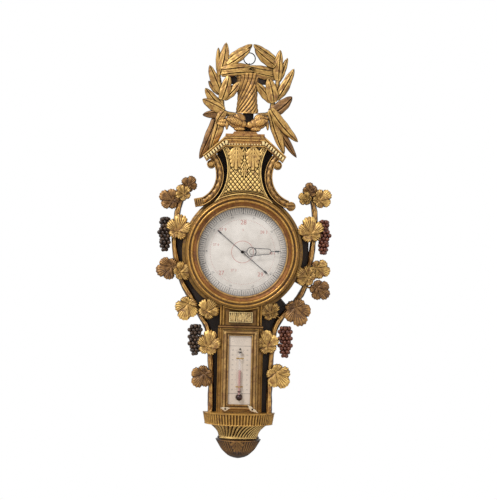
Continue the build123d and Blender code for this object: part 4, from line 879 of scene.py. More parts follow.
@dataclass
class Dial:
    """The printed dial: graduations, rings and plain numbers."""

    front: float = 36.2
    ink: float = 0.06
    outer: float = 104.0
    inner: float = 90.5
    divisions: int = 120
    numeral_radius: float = 85.0
    first_number: int = 26
    number_step: float = 36.0
    dot_ring: float = 77.0
    centre_ring: float = 26.0
    marks: tuple[tuple[str, float, float, float], ...] = (
        ("28", 1.0, 70.0, 15.0), ("27 9", -48.0, 52.0, 10.0), ("28 3", 50.0, 48.0, 10.0),
        ("27 6", -63.0, 16.0, 8.0), ("27", -49.0, -51.0, 14.0), ("29", 44.0, -53.0, 14.0),
        ("28 6", 71.0, -2.0, 8.0), ("3", 0.0, 52.0, 7.0), ("27 3", -20.0, -44.0, 8.0))

    def stroke(self, inner: float, outer: float, width: float, bearing: float) -> Form:
        """A radial printed stroke, its bearing in degrees clockwise from the top."""
        form = block((width, self.ink, outer - inner))
        shift(form, at(0, self.front + self.ink / 2, (inner + outer) / 2))
        swing(form, bearing)
        return form

    def ring(self, radius: float, width: float) -> Form:
        """A printed circle about the dial's axis."""
        low, high = self.front, self.front + self.ink
        return turned([(radius - width / 2, low), (radius + width / 2, low),
                       (radius + width / 2, high), (radius - width / 2, high)], 120)

    def figure(self, words: str, x: float, z: float, height: float, turn: float = 0.0) -> Form:
        """Plain numerals as a thin printed layer.

        Args:
            words: The numerals.
            x: Place of their middle.
            z: Place of their middle.
            height: Their height.
            turn: Their turn in degrees, clockwise from the front.

        Returns:
            The layer.
        """
        curve = bpy.data.curves.new("figure", "FONT")
        curve.body = words
        curve.size = height * MM
        curve.align_x = "CENTER"
        curve.align_y = "CENTER"
        curve.resolution_u = 2
        curve.extrude = self.ink * MM / 2
        holder = linked("figure", curve)
        bpy.context.view_layer.update()
        mesh = bpy.data.meshes.new_from_object(holder)
        form = bmesh.new()
        form.from_mesh(mesh)
        bpy.data.objects.remove(holder)
        swing(form, 90, "X")
        swing(form, turn)
        shift(form, at(x, self.front + self.ink / 2, z))
        bpy.data.meshes.remove(mesh)
        return form

    def build(self) -> None:
        """Prints the dial's layers over the CAD plate."""
        dress(Finish.DIAL, "dial_plate")
        strokes, faint = [], []
        for number in range(self.divisions):
            bearing = number * 360 / self.divisions
            low = abs(bearing - 180) < 52 or 30 < bearing < 84
            length = 1.0 if number % 6 == 0 else 0.86 if number % 2 == 0 else 0.72
            mark = self.stroke(self.outer - (self.outer - self.inner) * length, self.outer,
                               1.8 if number % 6 == 0 else 1.2, bearing)
            (faint if low else strokes).append(mark)
        strokes += [self.ring(self.outer, 0.7), self.ring(self.inner, 0.5)]
        for step in range(10):
            bearing = -162 + step * self.number_step
            angle = math.radians(bearing)
            strokes.append(self.figure(str(self.first_number + step % 6),
                                       self.numeral_radius * math.sin(angle),
                                       self.numeral_radius * math.cos(angle), 6.5, bearing))
        put(joined(strokes), "dial_graduations", Finish.BLACK_INK)
        put(joined(faint), "dial_low_graduations", Finish.GREY_INK)
        red = [self.ring(self.centre_ring, 1.0)]
        for number in range(120):
            red.append(self.stroke(self.dot_ring - 0.55, self.dot_ring + 0.55, 1.1, number * 3.0))
        red += [self.figure(*mark) for mark in self.marks]
        put(joined(red), "dial_red_print", Finish.RED_INK)


@dataclass
class Hands:
    """The weather hand, the set hand and its knob, and the glass between them."""

    hub: float = 3.8
    hub_back: float = 40.8
    hub_front: float = 42.0
    knob_radius: float = 3.8
    knob_back: float = 52.2
    knob_front: float = 60.2
    knob_grooves: int = 24
    needle: Point = (78.0, 78.0)
    needle_depth: float = 40.4
    needle_bearing: float = -50.0
    marker: float = 90.0
    marker_depth: float = 46.5
    marker_bearing: float = 88.0
    eye: Point = (11.0, 21.6)
    collar: Point = (7.4, 24.5)
    loop: tuple[Point, ...] = ((-8.6, 29.0), (-6.0, 63.0), (-4.6, 66.0), (0.0, 68.0), (4.6, 66.0),
                               (6.0, 63.0), (8.6, 29.0))

    @staticmethod
    def hoop(radius: float, middle: float, half_steps: int) -> list[Point]:
        """The bends of a round of wire about a middle on the hand."""
        return [(radius * math.sin(k * math.pi / half_steps),
                 middle - radius * math.cos(k * math.pi / half_steps))
                for k in range(2 * half_steps + 1)]

    def bar(self, run: Sequence[Point], width: float, depth: float, bearing: float) -> Form:
        """A thin flat wire with a point at each bend.

        Args:
            run: Its bends as (side, distance) from the hub.
            width: Its width.
            depth: The depth of its middle.
            bearing: The bearing of the run, in degrees clockwise from the top.

        Returns:
            The wire.
        """
        pieces = []
        for (ax, az), (bx, bz) in zip(run, run[1:]):
            length = math.hypot(bx - ax, bz - az)
            lean = math.degrees(math.atan2(bx - ax, bz - az))
            pieces.append(slab(((ax + bx) / 2, depth, (az + bz) / 2), (width, 0.8, length + width),
                               0.2, 1, lean))
        wire = joined(pieces)
        swing(wire, bearing)
        return wire

    def build_wires(self) -> None:
        """Files the weather hand and bends the set hand, both thin."""
        tip, tail = self.needle
        needle = joined([self.bar(((0.0, low), (0.0, high)), width, self.needle_depth,
                                  self.needle_bearing)
                         for low, high, width in ((-tail, tip, 1.5), (tip - 9.0, tip - 3.0, 3.6),
                                                  (4.0 - tail, 7.0 - tail, 4.4))])
        put(needle, "weather_needle", Finish.BLUED, ["pressure_hand"], "pointer", carved=False)
        runs = ((((0.0, 0.0), (2.6, 11.6)), 1.5), (((0.0, 0.0), (-2.6, 11.6)), 1.5),
                (self.hoop(*self.eye, 12), 1.6), (self.hoop(*self.collar, 8), 1.0),
                (self.loop, 1.5), (((0.0, 68.0), (0.0, self.marker)), 1.5),
                (((0.0, 79.0), (0.0, 85.0)), 3.6))
        put(joined([self.bar(run, width, self.marker_depth, self.marker_bearing) for run,
                    width in runs]),
            "marker_wire", Finish.BLUED, ["set_hand"], "marker", carved=False)

    def build_knob(self) -> None:
        """A milled knob with a waist and a domed end."""
        low, high = self.knob_back, self.knob_front

        def place(around: float, along: float) -> Vector:
            """The knob's skin, with its milling."""
            radius = between([(0.0, 0.0), (0.04, 2.6), (0.2, 2.2), (0.42, 2.4),
                              (0.5, self.knob_radius),
                              (0.84, self.knob_radius), (0.94, 2.9), (1.0, 0.0)], along)
            if 0.48 < along < 0.86:
                radius -= 0.22 * (0.5 + 0.5 * math.cos(around * 2 * math.pi * self.knob_grooves))
            angle = around * 2 * math.pi
            return at(radius * math.cos(angle), lerp(low, high, min(along * 1.04, 1.0)),
                      radius * math.sin(angle))

        put(relief(144, 30, place), "set_hand_knob_milled", Finish.IRON, ["set_hand_knob"],
            "marker")

    def build(self) -> None:
        """Dresses the hands and adds the hub and the knob."""
        self.build_wires()
        dress(Finish.GLASS, "dial_glass")
        put(button([(2.4, self.hub_back), (self.hub, self.hub_back + 0.1),
                    (self.hub, self.hub_front - 0.5),
                    (3.0, self.hub_front + 0.1), (1.4, self.hub_front + 0.4)], 0, 0, 36),
            "hand_boss", Finish.BLUED, body="pointer")
        self.build_knob()


@dataclass
class Works:
    """The aneroid movement behind the dial, and the back cover."""

    brass: tuple[str, ...] = ("movement_base_plate", "movement_pillars", "movement_top_plate",
                              "bridge_plate", "spring_bridge", "sector_gear", "rocker_posts",
                              "adjusting_screw")
    steel: tuple[str, ...] = ("hand_arbor", "rocking_shaft", "main_lever", "lever_link",
                              "movement_screws", "back_cover_screws")

    def build(self) -> None:
        """Dresses the movement's CAD pieces."""
        dress(Finish.BRASS, *self.brass)
        dress(Finish.STEEL, *self.steel)
        dress(Finish.SILVERED, "capsule", "capsule_stud")
        dress(Finish.BLUED, "main_spring", "hairspring")
        dress(Finish.BOARD, "backboard", "back_cover")


# --------------------------------------------------------------------------------------------------
# Neck and cornice
# --------------------------------------------------------------------------------------------------


@dataclass(frozen=True)
class Finger:
    """One rounded finger of a carved leaf, from its root to its tip."""

    root: Point
    tip: Point
    width: float

    def rise(self, x: float, z: float) -> float:
        """How high the finger stands at a place: 1 on its crown, 0 beyond its sides."""
        run = self.tip[0] - self.root[0], self.tip[1] - self.root[1]
        away = x - self.root[0], z - self.root[1]
        share = (away[0] * run[0] + away[1] * run[1]) / (run[0] ** 2 + run[1] ** 2)
        share = min(max(share, 0.0), 1.0)
        half = 0.5 * self.width * (0.6 + 0.5 * share - 0.1 * share * share)
        gap = math.hypot(away[0] - run[0] * share, away[1] - run[1] * share) / half
        return math.sqrt(1.0 - gap * gap) * (0.86 + 0.14 * share) if gap < 1.0 else 0.0


@dataclass(frozen=True)
class Acanthus:
    """A hanging acanthus leaf, cut as a fan of rounded fingers beside a rib."""

    x: float
    top: float
    foot: float
    width: float
    pairs: int = 4

    def fingers(self) -> list[Finger]:
        """The leaf's fingers, the rib first."""
        height = self.top - self.foot
        made = [Finger((self.x, self.top), (self.x, self.foot + 0.08 * height), 0.34 * self.width)]
        for step in range(self.pairs):
            share = step / (self.pairs - 0.35)
            reach = self.width * (0.42 - 0.18 * share)
            root = self.top - 0.02 - height * 0.6 * share
            tip = self.top - height * (0.3 + 0.6 * share)
            for side in (-1, 1):
                made.append(Finger((self.x + side * 0.12 * self.width, root),
                                   (self.x + side * reach, tip),
                                   0.45 * self.width * (1 - 0.2 * share)))
        return made


@dataclass
class Neck:
    """The waisted panel with its trellis and leaves, and the scrolls beside it."""

    board: float = 8.0
    ground: float = 35.6
    top: float = 250.0
    drum_gap_radius: float = 135.2
    side: Arc = Arc((57.0, 250.0), (41.0, 183.1), (61.0, 128.0))
    trellis: Point = (10.4, 12.8)
    scroll: Arc = Arc((73.0, 224.0), (58.0, 176.0), (106.0, 115.0))
    scroll_width: float = 19.0
    volute: Point = (79.5, 207.5)
    volute_radius: float = 10.0
    roll: Point = (113.0, 111.0)
    roll_radius: float = 11.0
    leaves: tuple[Acanthus, ...] = (
        Acanthus(-20.0, 249.0, 194.0, 33.0), Acanthus(20.0, 249.0, 194.0, 33.0),
        Acanthus(0.0, 212.0, 172.0, 17.0, 3), Acanthus(-44.0, 249.0, 216.0, 17.0, 3),
        Acanthus(44.0, 249.0, 216.0, 17.0, 3), Acanthus(0.0, 250.0, 220.0, 12.0, 2))
    trellis_top: float = 222.0
    trellis_rise: float = 5.2
    leaf_rise: float = 6.6
    left_roll: Point = (-106.5, 116.5)
    left_roll_half: Point = (10.4, 10.1)
    left_roll_turn: float = 12.0
    web_place: tuple[float, float, float] = (68.0, 10.0, 130.5)
    web_size: tuple[float, float, float] = (14.0, 4.0, 9.0)
    cut: dict[Acanthus, list[Finger]] = field(init=False, default_factory=dict)

    def half_width(self, height: float) -> float:
        """The panel's half width at a height."""
        centre, radius = self.side.circle()
        return centre.x - math.sqrt(max(radius ** 2 - (height - centre.y) ** 2, 0.0))

    def carved(self, x: float, z: float) -> float:
        """How high the leaves stand at a place, from 0 between them to 1."""
        return max((finger.rise(x, z) for leaf in self.leaves
                    if abs(x - leaf.x) < 0.62 * leaf.width and leaf.foot - 2 < z
                    for finger in self.cut[leaf]), default=0.0)

    def height_at(self, x: float, z: float) -> float:
        """The depth of the carved surface at a place on the panel."""
        edge = self.half_width(z) - abs(x)
        hug = math.hypot(x, z) - self.drum_gap_radius
        side = rounded([(0.0, 40.0), (0.8, 42.0), (3.0, 42.0), (4.0, 38.0), (5.0, 40.4),
                        (6.2, 40.4),
                        (7.2, self.ground)], edge)
        foot = rounded([(0.0, 40.0), (1.6, 42.0), (4.2, 42.0), (5.2, 37.6), (7.4, 41.2),
                        (9.8, 37.8),
                        (11.2, 40.0), (13.2, self.ground)], hug)
        across, up = x / self.trellis[0], z / self.trellis[1]
        first, second = across + up, across - up
        stud = 0.5 - max(abs(first - round(first)), abs(second - round(second)))
        middle = self.ground + self.trellis_rise * (0.85 * ease(0.045, 0.1, stud)
                                                    + 0.15 * ease(0.1, 0.5, stud))
        if z > self.trellis_top - 0.35 * abs(x):
            middle = self.ground
        carved = self.carved(x, z)
        if carved > 0.0:
            middle = self.ground - 0.4 + self.leaf_rise * carved
        return max(side if edge < 7.2 else 0.0, foot if hug < 13.2 else 0.0,
                   middle if edge > 7.0 and hug > 12.6 else 0.0)

    def build_panel(self) -> None:
        """Carves the panel's face."""

        def place(across: float, up: float) -> Vector:
            """A point of the panel's face."""
            x_share = 2 * across - 1
            z = self.top
            for _ in range(3):
                x = x_share * self.half_width(z)
                foot = math.sqrt(self.drum_gap_radius ** 2 - x * x)
                z = lerp(foot, self.top, up)
            x = x_share * self.half_width(z)
            return at(x, self.height_at(x, z), z)

        self.cut = {leaf: leaf.fingers() for leaf in self.leaves}
        put(carve(220, 230, place, self.board), "neck_carving", Finish.GILT, ["neck_panel"],
            crease=60)

    def roll_end(self, side: int) -> Form:
        """Carves the grooved roll at a scroll's foot, square on the left and round on the right."""
        turn = math.radians(self.left_roll_turn)

        def place(across: float, up: float) -> Vector:
            """A point of the roll's face."""
            t, u = 2 * across - 1, 2 * up - 1
            groove = 0.5 + 0.5 * math.cos(13 * t if side < 0 else 8 * u)
            rim = min(1 - abs(t), 1 - abs(u))
            depth = 34.6 + 3.4 * ease(0.0, 0.25, rim) - 1.9 * groove * ease(0.1, 0.25, rim)
            if side > 0:
                t, u = t * math.sqrt(1 - u * u / 2), u * math.sqrt(1 - t * t / 2)
                return at(self.roll[0] + self.roll_radius * t, depth,
                          self.roll[1] + self.roll_radius * u)
            dx, dz = self.left_roll_half[0] * t, self.left_roll_half[1] * u
            return at(self.left_roll[0] + dx * math.cos(turn) - dz * math.sin(turn), depth,
                      self.left_roll[1] + dx * math.sin(turn) + dz * math.cos(turn))

        return carve(48, 40, place, self.board)

    def build_scroll(self, side: int, hand: str) -> None:
        """Carves the scroll of one side."""

        def place(along: float, across: float) -> Vector:
            """A point of the scroll's face."""
            t = 2 * across - 1
            x, z = self.scroll.place(-0.07 + 1.07 * along, t * (self.scroll_width / 2 - 0.1))
            rib = 0.5 + 0.5 * math.cos(along * 2 * math.pi * 9 - 3 * abs(t))
            depth = rounded([(0.0, 36.4 + 1.2 * rib), (0.5, 34.6 + 1.2 * rib), (0.66, 33.6),
                             (0.74, 37.6),
                             (0.92, 38.0), (1.0, 36.6)], abs(t))
            return at(side * x, depth, z)

        band = carve(150, 26, place, self.board)
        volute = button([(self.volute_radius, self.board), (self.volute_radius, 36.0), (9.0, 37.6),
                         (8.0, 38.2), (7.2, 36.6), (6.6, 37.2), (5.4, 39.8), (3.2, 41.0)],
                        side * self.volute[0], self.volute[1])
        put(joined([band, volute, self.roll_end(side)]), f"scroll_{hand}", Finish.SCROLL_GILT,
            [f"neck_scroll_{hand}"])

    def build(self) -> None:
        """Builds the panel and both scrolls."""
        self.build_panel()
        self.build_scroll(-1, "left")
        self.build_scroll(1, "right")
        x, depth, z = self.web_place
        put(joined([slab((side * x, depth, z), self.web_size, 0.6) for side in (-1, 1)]),
            "neck_webs", Finish.BOARD, carved=False)


@dataclass
class Cornice:
    """The dentilled cornice that slopes down to both sides, and the slab on it."""

    board: float = 8.0
    crest: tuple[Point, ...] = ((-99.0, 228.0), (-47.0, 274.0), (47.0, 274.0), (99.0, 228.0))
    sill: tuple[Point, ...] = ((-91.0, 214.5), (-47.0, 250.0), (47.0, 250.0), (91.0, 214.5))
    section: tuple[Point, ...] = ((0.0, 49.0), (0.03, 50.0), (0.17, 50.0), (0.2, 47.4), (0.3, 48.6),
                                  (0.4, 48.6), (0.47, 46.0), (0.5, 45.2), (0.86, 45.2), (0.9, 46.4),
                                  (0.97, 46.0), (1.0, 43.0))
    dentil: Point = (4.2, 8.0)
    bead: float = 3.0
    beads: int = 14
    dentils: int = 8
    cap_half: float = 47.0
    cap_foot: float = 274.0
    cap_height: float = 6.0
    cap_front: float = 54.0

    def build_moulding(self) -> None:
        """Runs the moulding along the three sides."""
        rows = len(self.section) - 1
        spans = len(self.crest) - 1

        def place(along: float, down: float) -> Vector:
            """A point of the moulding's face."""
            step = min(int(along * spans + 1e-6), spans - 1)
            drop, depth = self.section[round(down * rows)]
            top, foot = (Vector(line[step]).lerp(Vector(line[step + 1]), along * spans - step)
                         for line in (self.crest, self.sill))
            spot = top.lerp(foot, drop)
            wear = 0.4 * noise.noise(Vector((spot.x * 0.12, drop * 6, spot.y * 0.12)))
            return at(spot.x, min(depth + wear, 50.0), spot.y)

        form = carve(90, rows, place, self.board)
        put(form, "cornice_moulding", Finish.RED_GILT, ["cornice"], crease=25, carved=False)

    def build_dentils(self) -> None:
        """Cuts the dentils: faint beads in the middle, long blocks on the slopes."""
        width, height = self.dentil
        pitch = 2 * self.cap_half / self.beads
        blocks = [slab(((step + 0.5) * pitch - self.cap_half, 46.0, 255.2),
                       (self.bead, 4.4, self.bead + 0.6), 0.7)
                  for step in range(self.beads)]
        (low_x, low_z), (high_x, high_z) = self.crest[:2]
        slope = math.degrees(math.atan2(high_z - low_z, high_x - low_x))
        for side in (-1, 1):
            blocks.append(slab((side * 43.8, 46.4, 259.0), (6.0, 6.4, 9.0), 0.8))
            for step in range(self.dentils):
                along = (step + 0.5) / self.dentils
                blocks.append(slab((side * (48.0 + 45.6 * along), 47.0, 258.6 - 37.6 * along),
                                   (width, 5.6, height + 0.8), 0.9, turn=side * 0.72 * slope))
        put(joined(blocks), "cornice_dentils", Finish.PALE_GILT, carved=False)

    def build_cap(self) -> None:
        """Shapes the slab that carries the crest, in two steps."""
        parts = []
        for low, high, front, half in ((0.0, 0.42, self.cap_front, self.cap_half),
                                       (0.42, 1.0, 52.2, 46.4)):
            parts.append(slab((0.0, (self.board + front) / 2,
                               self.cap_foot + self.cap_height * (low + high) / 2),
                              (2 * half, front - self.board, self.cap_height * (high - low)),
                              0.9, 3))
        put(joined(parts), "cornice_slab", Finish.BOLE_GILT, ["cornice_cap"], carved=False)

    def build(self) -> None:
        """Builds the cornice."""
        self.build_moulding()
        self.build_dentils()
        self.build_cap()


# --------------------------------------------------------------------------------------------------
# Carved leaves, stems and the crest
# --------------------------------------------------------------------------------------------------


@dataclass(frozen=True)
class LaurelLeaf:
    """A carved laurel leaf: base, tip, width and the level it lies on."""

    base: Point
    tip: Point
    width: float
    level: int
    foot: float = 14.0
    level_step: float = 5.0
    thickness: float = 9.0

    def build(self, seed: float) -> Form:
        """Carves the leaf; the seed varies its twist and hollows."""
        base, tip = Vector(self.base), Vector(self.tip)
        run = tip - base
        side = Vector((run.y, -run.x)).normalized()
        foot = self.foot + self.level_step * self.level
        lean = 0.16 * math.sin(seed * 5.1)
        sway = 0.035 * run.length * math.sin(seed * 3.3)

        def place(along: float, across: float) -> Vector:
            """A point of the leaf's face."""
            t = 2 * across - 1
            swell = ((0.06 + 0.94 * along) ** 0.45) * ((1 - along) ** 0.6) / 0.495
            wave = 1 + 0.035 * math.sin(along * 19 + seed + 2 * t)
            half = max(self.width * 0.6 * swell * wave, 0.35)
            crown = max(1 - abs(t) ** 2.6, 0.0) ** 0.5
            vein = 0.1 * math.sin(seed * 2.7)
            height = 0.3 + 0.52 * crown + 0.13 * math.exp(-((t - vein) / 0.13) ** 2)
            height -= 0.26 * math.exp(-((t - vein - 0.22) / 0.1) ** 2)
            height -= 0.09 * abs(math.sin(7 * along + 2.4 * abs(t - vein) + seed)) ** 6 * crown
            height += lean * t + 0.07 * math.sin(math.pi * along)
            height *= 0.72 + 0.28 * ease(0.0, 0.25, along) - 0.2 * ease(0.72, 1.0, along)
            spot = base + run * along + side * (t * half + sway * math.sin(math.pi * along))
            return at(spot.x, foot + self.thickness * min(max(height, 0.25), 1.0), spot.y)

        return carve(30, 24, place, foot)


@dataclass(frozen=True)
class Stem:
    """A carved stem that runs along a route, round in front and flat behind."""

    route: Route
    width: float
    back: float
    front: float
    steps: int = 90
    knots: float = 0.12

    def build(self, seed: float) -> Form:
        """Carves the stem; the seed varies its knots."""

        def place(along: float, around: float) -> Vector:
            """A point of the stem's skin."""
            spot, across = self.route.place(along), self.route.across(along)
            t = 2 * around - 1
            size = 1 + self.knots * noise.noise(Vector((along * 14, seed, 0.3))) \
                + 0.5 * self.knots * noise.noise(Vector((along * 45, t * 2.2, seed)))
            size *= 1 - 0.25 * ease(0.93, 1.0, along)
            groove = 0.06 * math.cos(t * 9 + along * 30)
            half = self.width / 2 * size
            crown = math.sqrt(max(1 - t * t, 0.0))
            rise = (self.front - self.back) * (0.25 + 0.75 * crown * (0.94 + groove))
            return at(spot.x + across.x * t * half, self.back + rise * min(size, 1.0),
                      spot.y + across.y * t * half)

        return carve(self.steps, 14, place, self.back)


@dataclass
class Wreath:
    """The two laurel branches of the crest, with heights above the cornice slab."""

    slab: float = 280.0
    width: float = 11.5
    back: float = 12.0
    front: float = 25.0
    routes: dict[str, tuple[Point, ...]] = field(default_factory=lambda: {
        "left": ((-24, 47), (-52, 54), (-58, 82), (-63, 114), (-66, 144), (-48, 168), (-26, 192)),
        "right": ((30, 47), (58, 53), (64, 78), (73, 114), (74, 137), (66, 164), (46, 188))})
    leaves: dict[str, Masses] = field(default_factory=lambda: {
        "left": ((-64, 141, -50, 218.8, 20, 1), (-66, 144, -69, 207, 12, 0),
                 (-62, 100, -89, 164, 18, 1),
                 (-63, 96, -91, 127, 12, 0), (-54, 56, -98, 109, 20, 1), (-54, 56, -104, 82, 20, 2),
                 (-44, 50, -103, 45, 18, 1), (-58, 82, -42, 142, 21, 2), (-54, 84, -14, 128, 18, 1),
                 (-41, 181, 12, 215.7, 18, 1), (-46, 166, 8, 205, 18, 2),
                 (-60, 153, 12, 162, 19, 2), (-60, 142, 18, 150, 15, 2), (-55, 58, -83, -42, 20, 1),
                 (-62, 54, -108, -60, 23, 0), (-50, 55, -70, 26, 18, 2)),
        "right": ((74, 131, 79, 204, 19, 1), (77, 130, 97, 186, 13, 0), (73, 86, 113, 160, 18, 1),
                  (71, 86, 106, 127, 13, 0), (58, 50, 110, 93, 24, 1), (66, 78, 52, 137, 23, 2),
                  (62, 80, 22, 125, 19, 1), (66, 180, 14.8, 215.7, 18, 1),
                  (67, 164, 18, 205, 18, 2),
                  (70, 152, 2, 163, 18, 0), (71, 137, -2, 151, 15, 0), (59, 60, 94, -44, 20, 1),
                  (60, 62, 126, -15, 19, 2), (59, 66, 124, -52, 18, 0))})
    brown: tuple[tuple[str, int], ...] = (("left", 6), ("left", 14), ("right", 4), ("right", 13))

    def build(self) -> None:
        """Carves both branches, with the shaded leaves in a browner finish."""
        for hand, route in self.routes.items():
            line = Route(tuple((x, z + self.slab) for x, z in route))
            forms = {Finish.LEAF_GILT: [Stem(line, self.width, self.back, self.front).build(3.0)],
                     Finish.BROWN_LEAF: []}
            for number, (bx, bz, tx, tz, width, level) in enumerate(self.leaves[hand]):
                leaf = LaurelLeaf((bx, bz + self.slab), (tx, tz + self.slab), width, int(level))
                finish = Finish.BROWN_LEAF if (hand, number) in self.brown else Finish.LEAF_GILT
                forms[finish].append(leaf.build(number * 1.7 + len(hand)))
            put(joined(forms[Finish.LEAF_GILT]), f"laurel_{hand}", Finish.LEAF_GILT,
                [f"wreath_branch_{hand}"], crease=50)
            put(joined(forms[Finish.BROWN_LEAF]), f"laurel_shaded_{hand}", Finish.BROWN_LEAF,
                crease=50)


@dataclass
class Trophy:
    """The quiver, the pair of doves and the plinth they stand on."""

    board: float = 12.0
    middle: float = 3.0
    quiver_foot: float = 331.0
    quiver_top: float = 427.0
    quiver_half: float = 27.0
    quiver_waist: float = 24.0
    quiver_reach: float = 18.0
    quiver_lip: float = 1.6
    flutes: int = 8
    twist: float = 0.68
    plinth_half: float = 29.0
    plinth_top: float = 286.0
    plinth_front: float = 44.0
    plinth_steps: tuple[tuple[float, float, float], ...] = ((281.6, 3.2, 0.0), (284.6, 2.8, 2.0))
    crossbar_place: tuple[float, float, float] = (4.0, 14.0, 410.0)
    crossbar_size: tuple[float, float, float] = (104.0, 4.0, 19.0)
    dove_middle: float = 5.5
    dove_eyes: dict[int, Point] = field(
        default_factory=lambda: {-1: (-3.0, 306.5), 1: (9.5, 305.0)})
    # each mass: x, depth, z, three radii, turn in degrees
    dove_masses: dict[int, Masses] = field(default_factory=lambda: {
        -1: ((-20, 31, 306.5, 23, 8.5, 15, 14), (-16, 31, 316, 17, 8, 14.5, 0),
             (-32, 31, 313, 14, 8, 13, 0),
             (-5, 33, 304, 9, 7, 9, 0), (1.5, 34.5, 299.5, 3.4, 2.2, 1.9, -24),
             (-14, 31.5, 292.5, 14, 7, 7, 0),
             (-43.5, 30, 304, 4.5, 5, 14.5, 4), (-40, 30.5, 315, 7, 6.5, 9, 0),
             (-24, 38, 310, 18, 4.6, 9, 20), (-53, 29, 303, 15, 5, 6.0, 8),
             (-52, 29, 311, 15, 4.6, 5.4, -6), (-37, 37.5, 314, 8, 3.6, 5, 16)),
        1: ((31, 31, 306.5, 20, 8.5, 15, -12), (34, 31, 316, 15, 8, 14, 0),
            (20, 32, 306, 11, 8, 11, 0),
            (11, 33, 302.5, 9, 7.4, 9.2, 0), (4.2, 34.5, 298.5, 3.2, 2.2, 1.9, 24),
            (24, 31.5, 292.5, 13, 7, 7, 0),
            (52.5, 30, 304, 4.0, 5, 14.5, -4), (48.5, 30.5, 316, 6.5, 6.5, 9, 0),
            (36, 38, 309, 15, 4.6, 9, -20), (46, 37.5, 312, 7.5, 3.6, 4.6, -16))})

    def build_quiver(self) -> None:
        """Carves the twisted flutes of the quiver."""
        low, high = self.quiver_foot, self.quiver_top
        lip = self.quiver_half + self.quiver_lip

        def place(around: float, up: float) -> Vector:
            """A point of the quiver's front."""
            angle = math.pi * (1 - around)
            z = lerp(low, high, up)
            half = rounded([(0.0, self.quiver_half), (0.385, self.quiver_waist),
                            (0.86, self.quiver_half),
                            (0.9, lip), (1.0, lip)], up)
            turn = self.flutes * (around + self.twist * (1 - up) ** 2 + 0.03 * math.sin(up * 5))
            flute = abs(math.sin(math.pi * turn)) ** 0.7
            cut = 4.6 * (1 - flute) * ease(0.0, 0.05, up) * (1 - ease(0.96, 1.0, up))
            fine = 0.5 * noise.noise(Vector((turn * 1.7, up * 6, 1.0)))
            reach = self.quiver_reach * half / self.quiver_half
            scale = 1 - (cut + fine) / self.quiver_half
            return at(self.middle + half * scale * math.cos(angle),
                      self.board + reach * scale * math.sin(angle), z)

        put(carve(150, 70, place, self.board), "quiver_carving", Finish.TROPHY_GILT, ["quiver"],
            crease=60)
        put(slab(self.crossbar_place, self.crossbar_size, 0.8), "crossbar", Finish.BOARD,
            ["wreath_crossbar"])
        dress(Finish.IRON, "hanger_staple")

    def build_plinth(self) -> None:
        """Shapes the plinth in two steps."""
        depth = self.plinth_front
        parts = [slab((0, (self.board + depth - inset) / 2, z),
                      (2 * (self.plinth_half - inset), depth - inset - self.board, height), 1.0, 3)
                 for z, height, inset in self.plinth_steps]
        put(joined(parts), "plinth", Finish.BOLE_GILT, ["dove_plinth"], carved=False)

    def dove(self, side: int) -> Form:
        """One dove, facing the middle.

        Args:
            side: 1 for the right-hand bird, -1 for the left.

        Returns:
            The bird, melted into one skin with its feathers cut.
        """
        parts = [ball(at(x, depth, z), Vector((rx, ry, rz)) * MM,
                      Matrix.Rotation(math.radians(turn), 4, "Y"), 3)
                 for x, depth, z, rx, ry, rz, turn in self.dove_masses[side]]
        bird = welded(joined(parts), 0.9)
        bmesh.ops.smooth_vert(bird, verts=bird.verts, factor=0.6, use_axis_x=True, use_axis_y=True,
                              use_axis_z=True)
        bird.normal_update()
        for vert in bird.verts:
            x = side * (vert.co.x / MM - self.dove_middle)
            z = vert.co.z / MM - self.plinth_top
            if x > 15:
                row = (x * 0.94 + z * 0.3) / 5.6
                scale = abs(math.sin(math.pi * (row + 0.25 * math.cos(z * 1.0))))
                vert.co += vert.normal * (0.6 * scale - 0.5) * MM * ease(15, 20, x)
            else:
                vert.co += vert.normal * 0.18 * math.sin(x * 2.4) * math.sin(z * 2.2) * MM
        return bird

    def build_doves(self) -> None:
        """Carves both birds and their eyes."""
        for side, hand in ((-1, "left"), (1, "right")):
            put(self.dove(side), f"{hand}_dove", Finish.TROPHY_GILT, [f"dove_{hand}"], crease=180)
            x, z = self.dove_eyes[side]
            put(ball(at(x, 39.6, z), Vector((1.3, 1.0, 1.3)) * MM), f"{hand}_dove_eye", Finish.BULB)

    def build(self) -> None:
        """Builds the trophy."""
        self.build_quiver()
        self.build_plinth()
        self.build_doves()


@dataclass
class HangingRing:
    """The round wire ring."""

    x: float = 6.0
    depth: float = 6.0
    z: float = 463.5
    radius: float = 13.75
    wire: float = 2.5

    def build(self) -> None:
        """Bends the ring."""

        def place(around: float, section: float) -> Vector:
            """A point of the wire's skin."""
            angle, turn = around * 2 * math.pi, section * 2 * math.pi
            radius = self.radius + 0.5 * self.wire * math.cos(turn)
            return at(self.x + radius * math.cos(angle),
                      self.depth + 0.5 * self.wire * math.sin(turn),
                      self.z + radius * math.sin(angle))

        put(relief(96, 16, place), "ring_wire", Finish.IRON, ["hanging_ring"], "ring")


# --------------------------------------------------------------------------------------------------
# Vines
# --------------------------------------------------------------------------------------------------


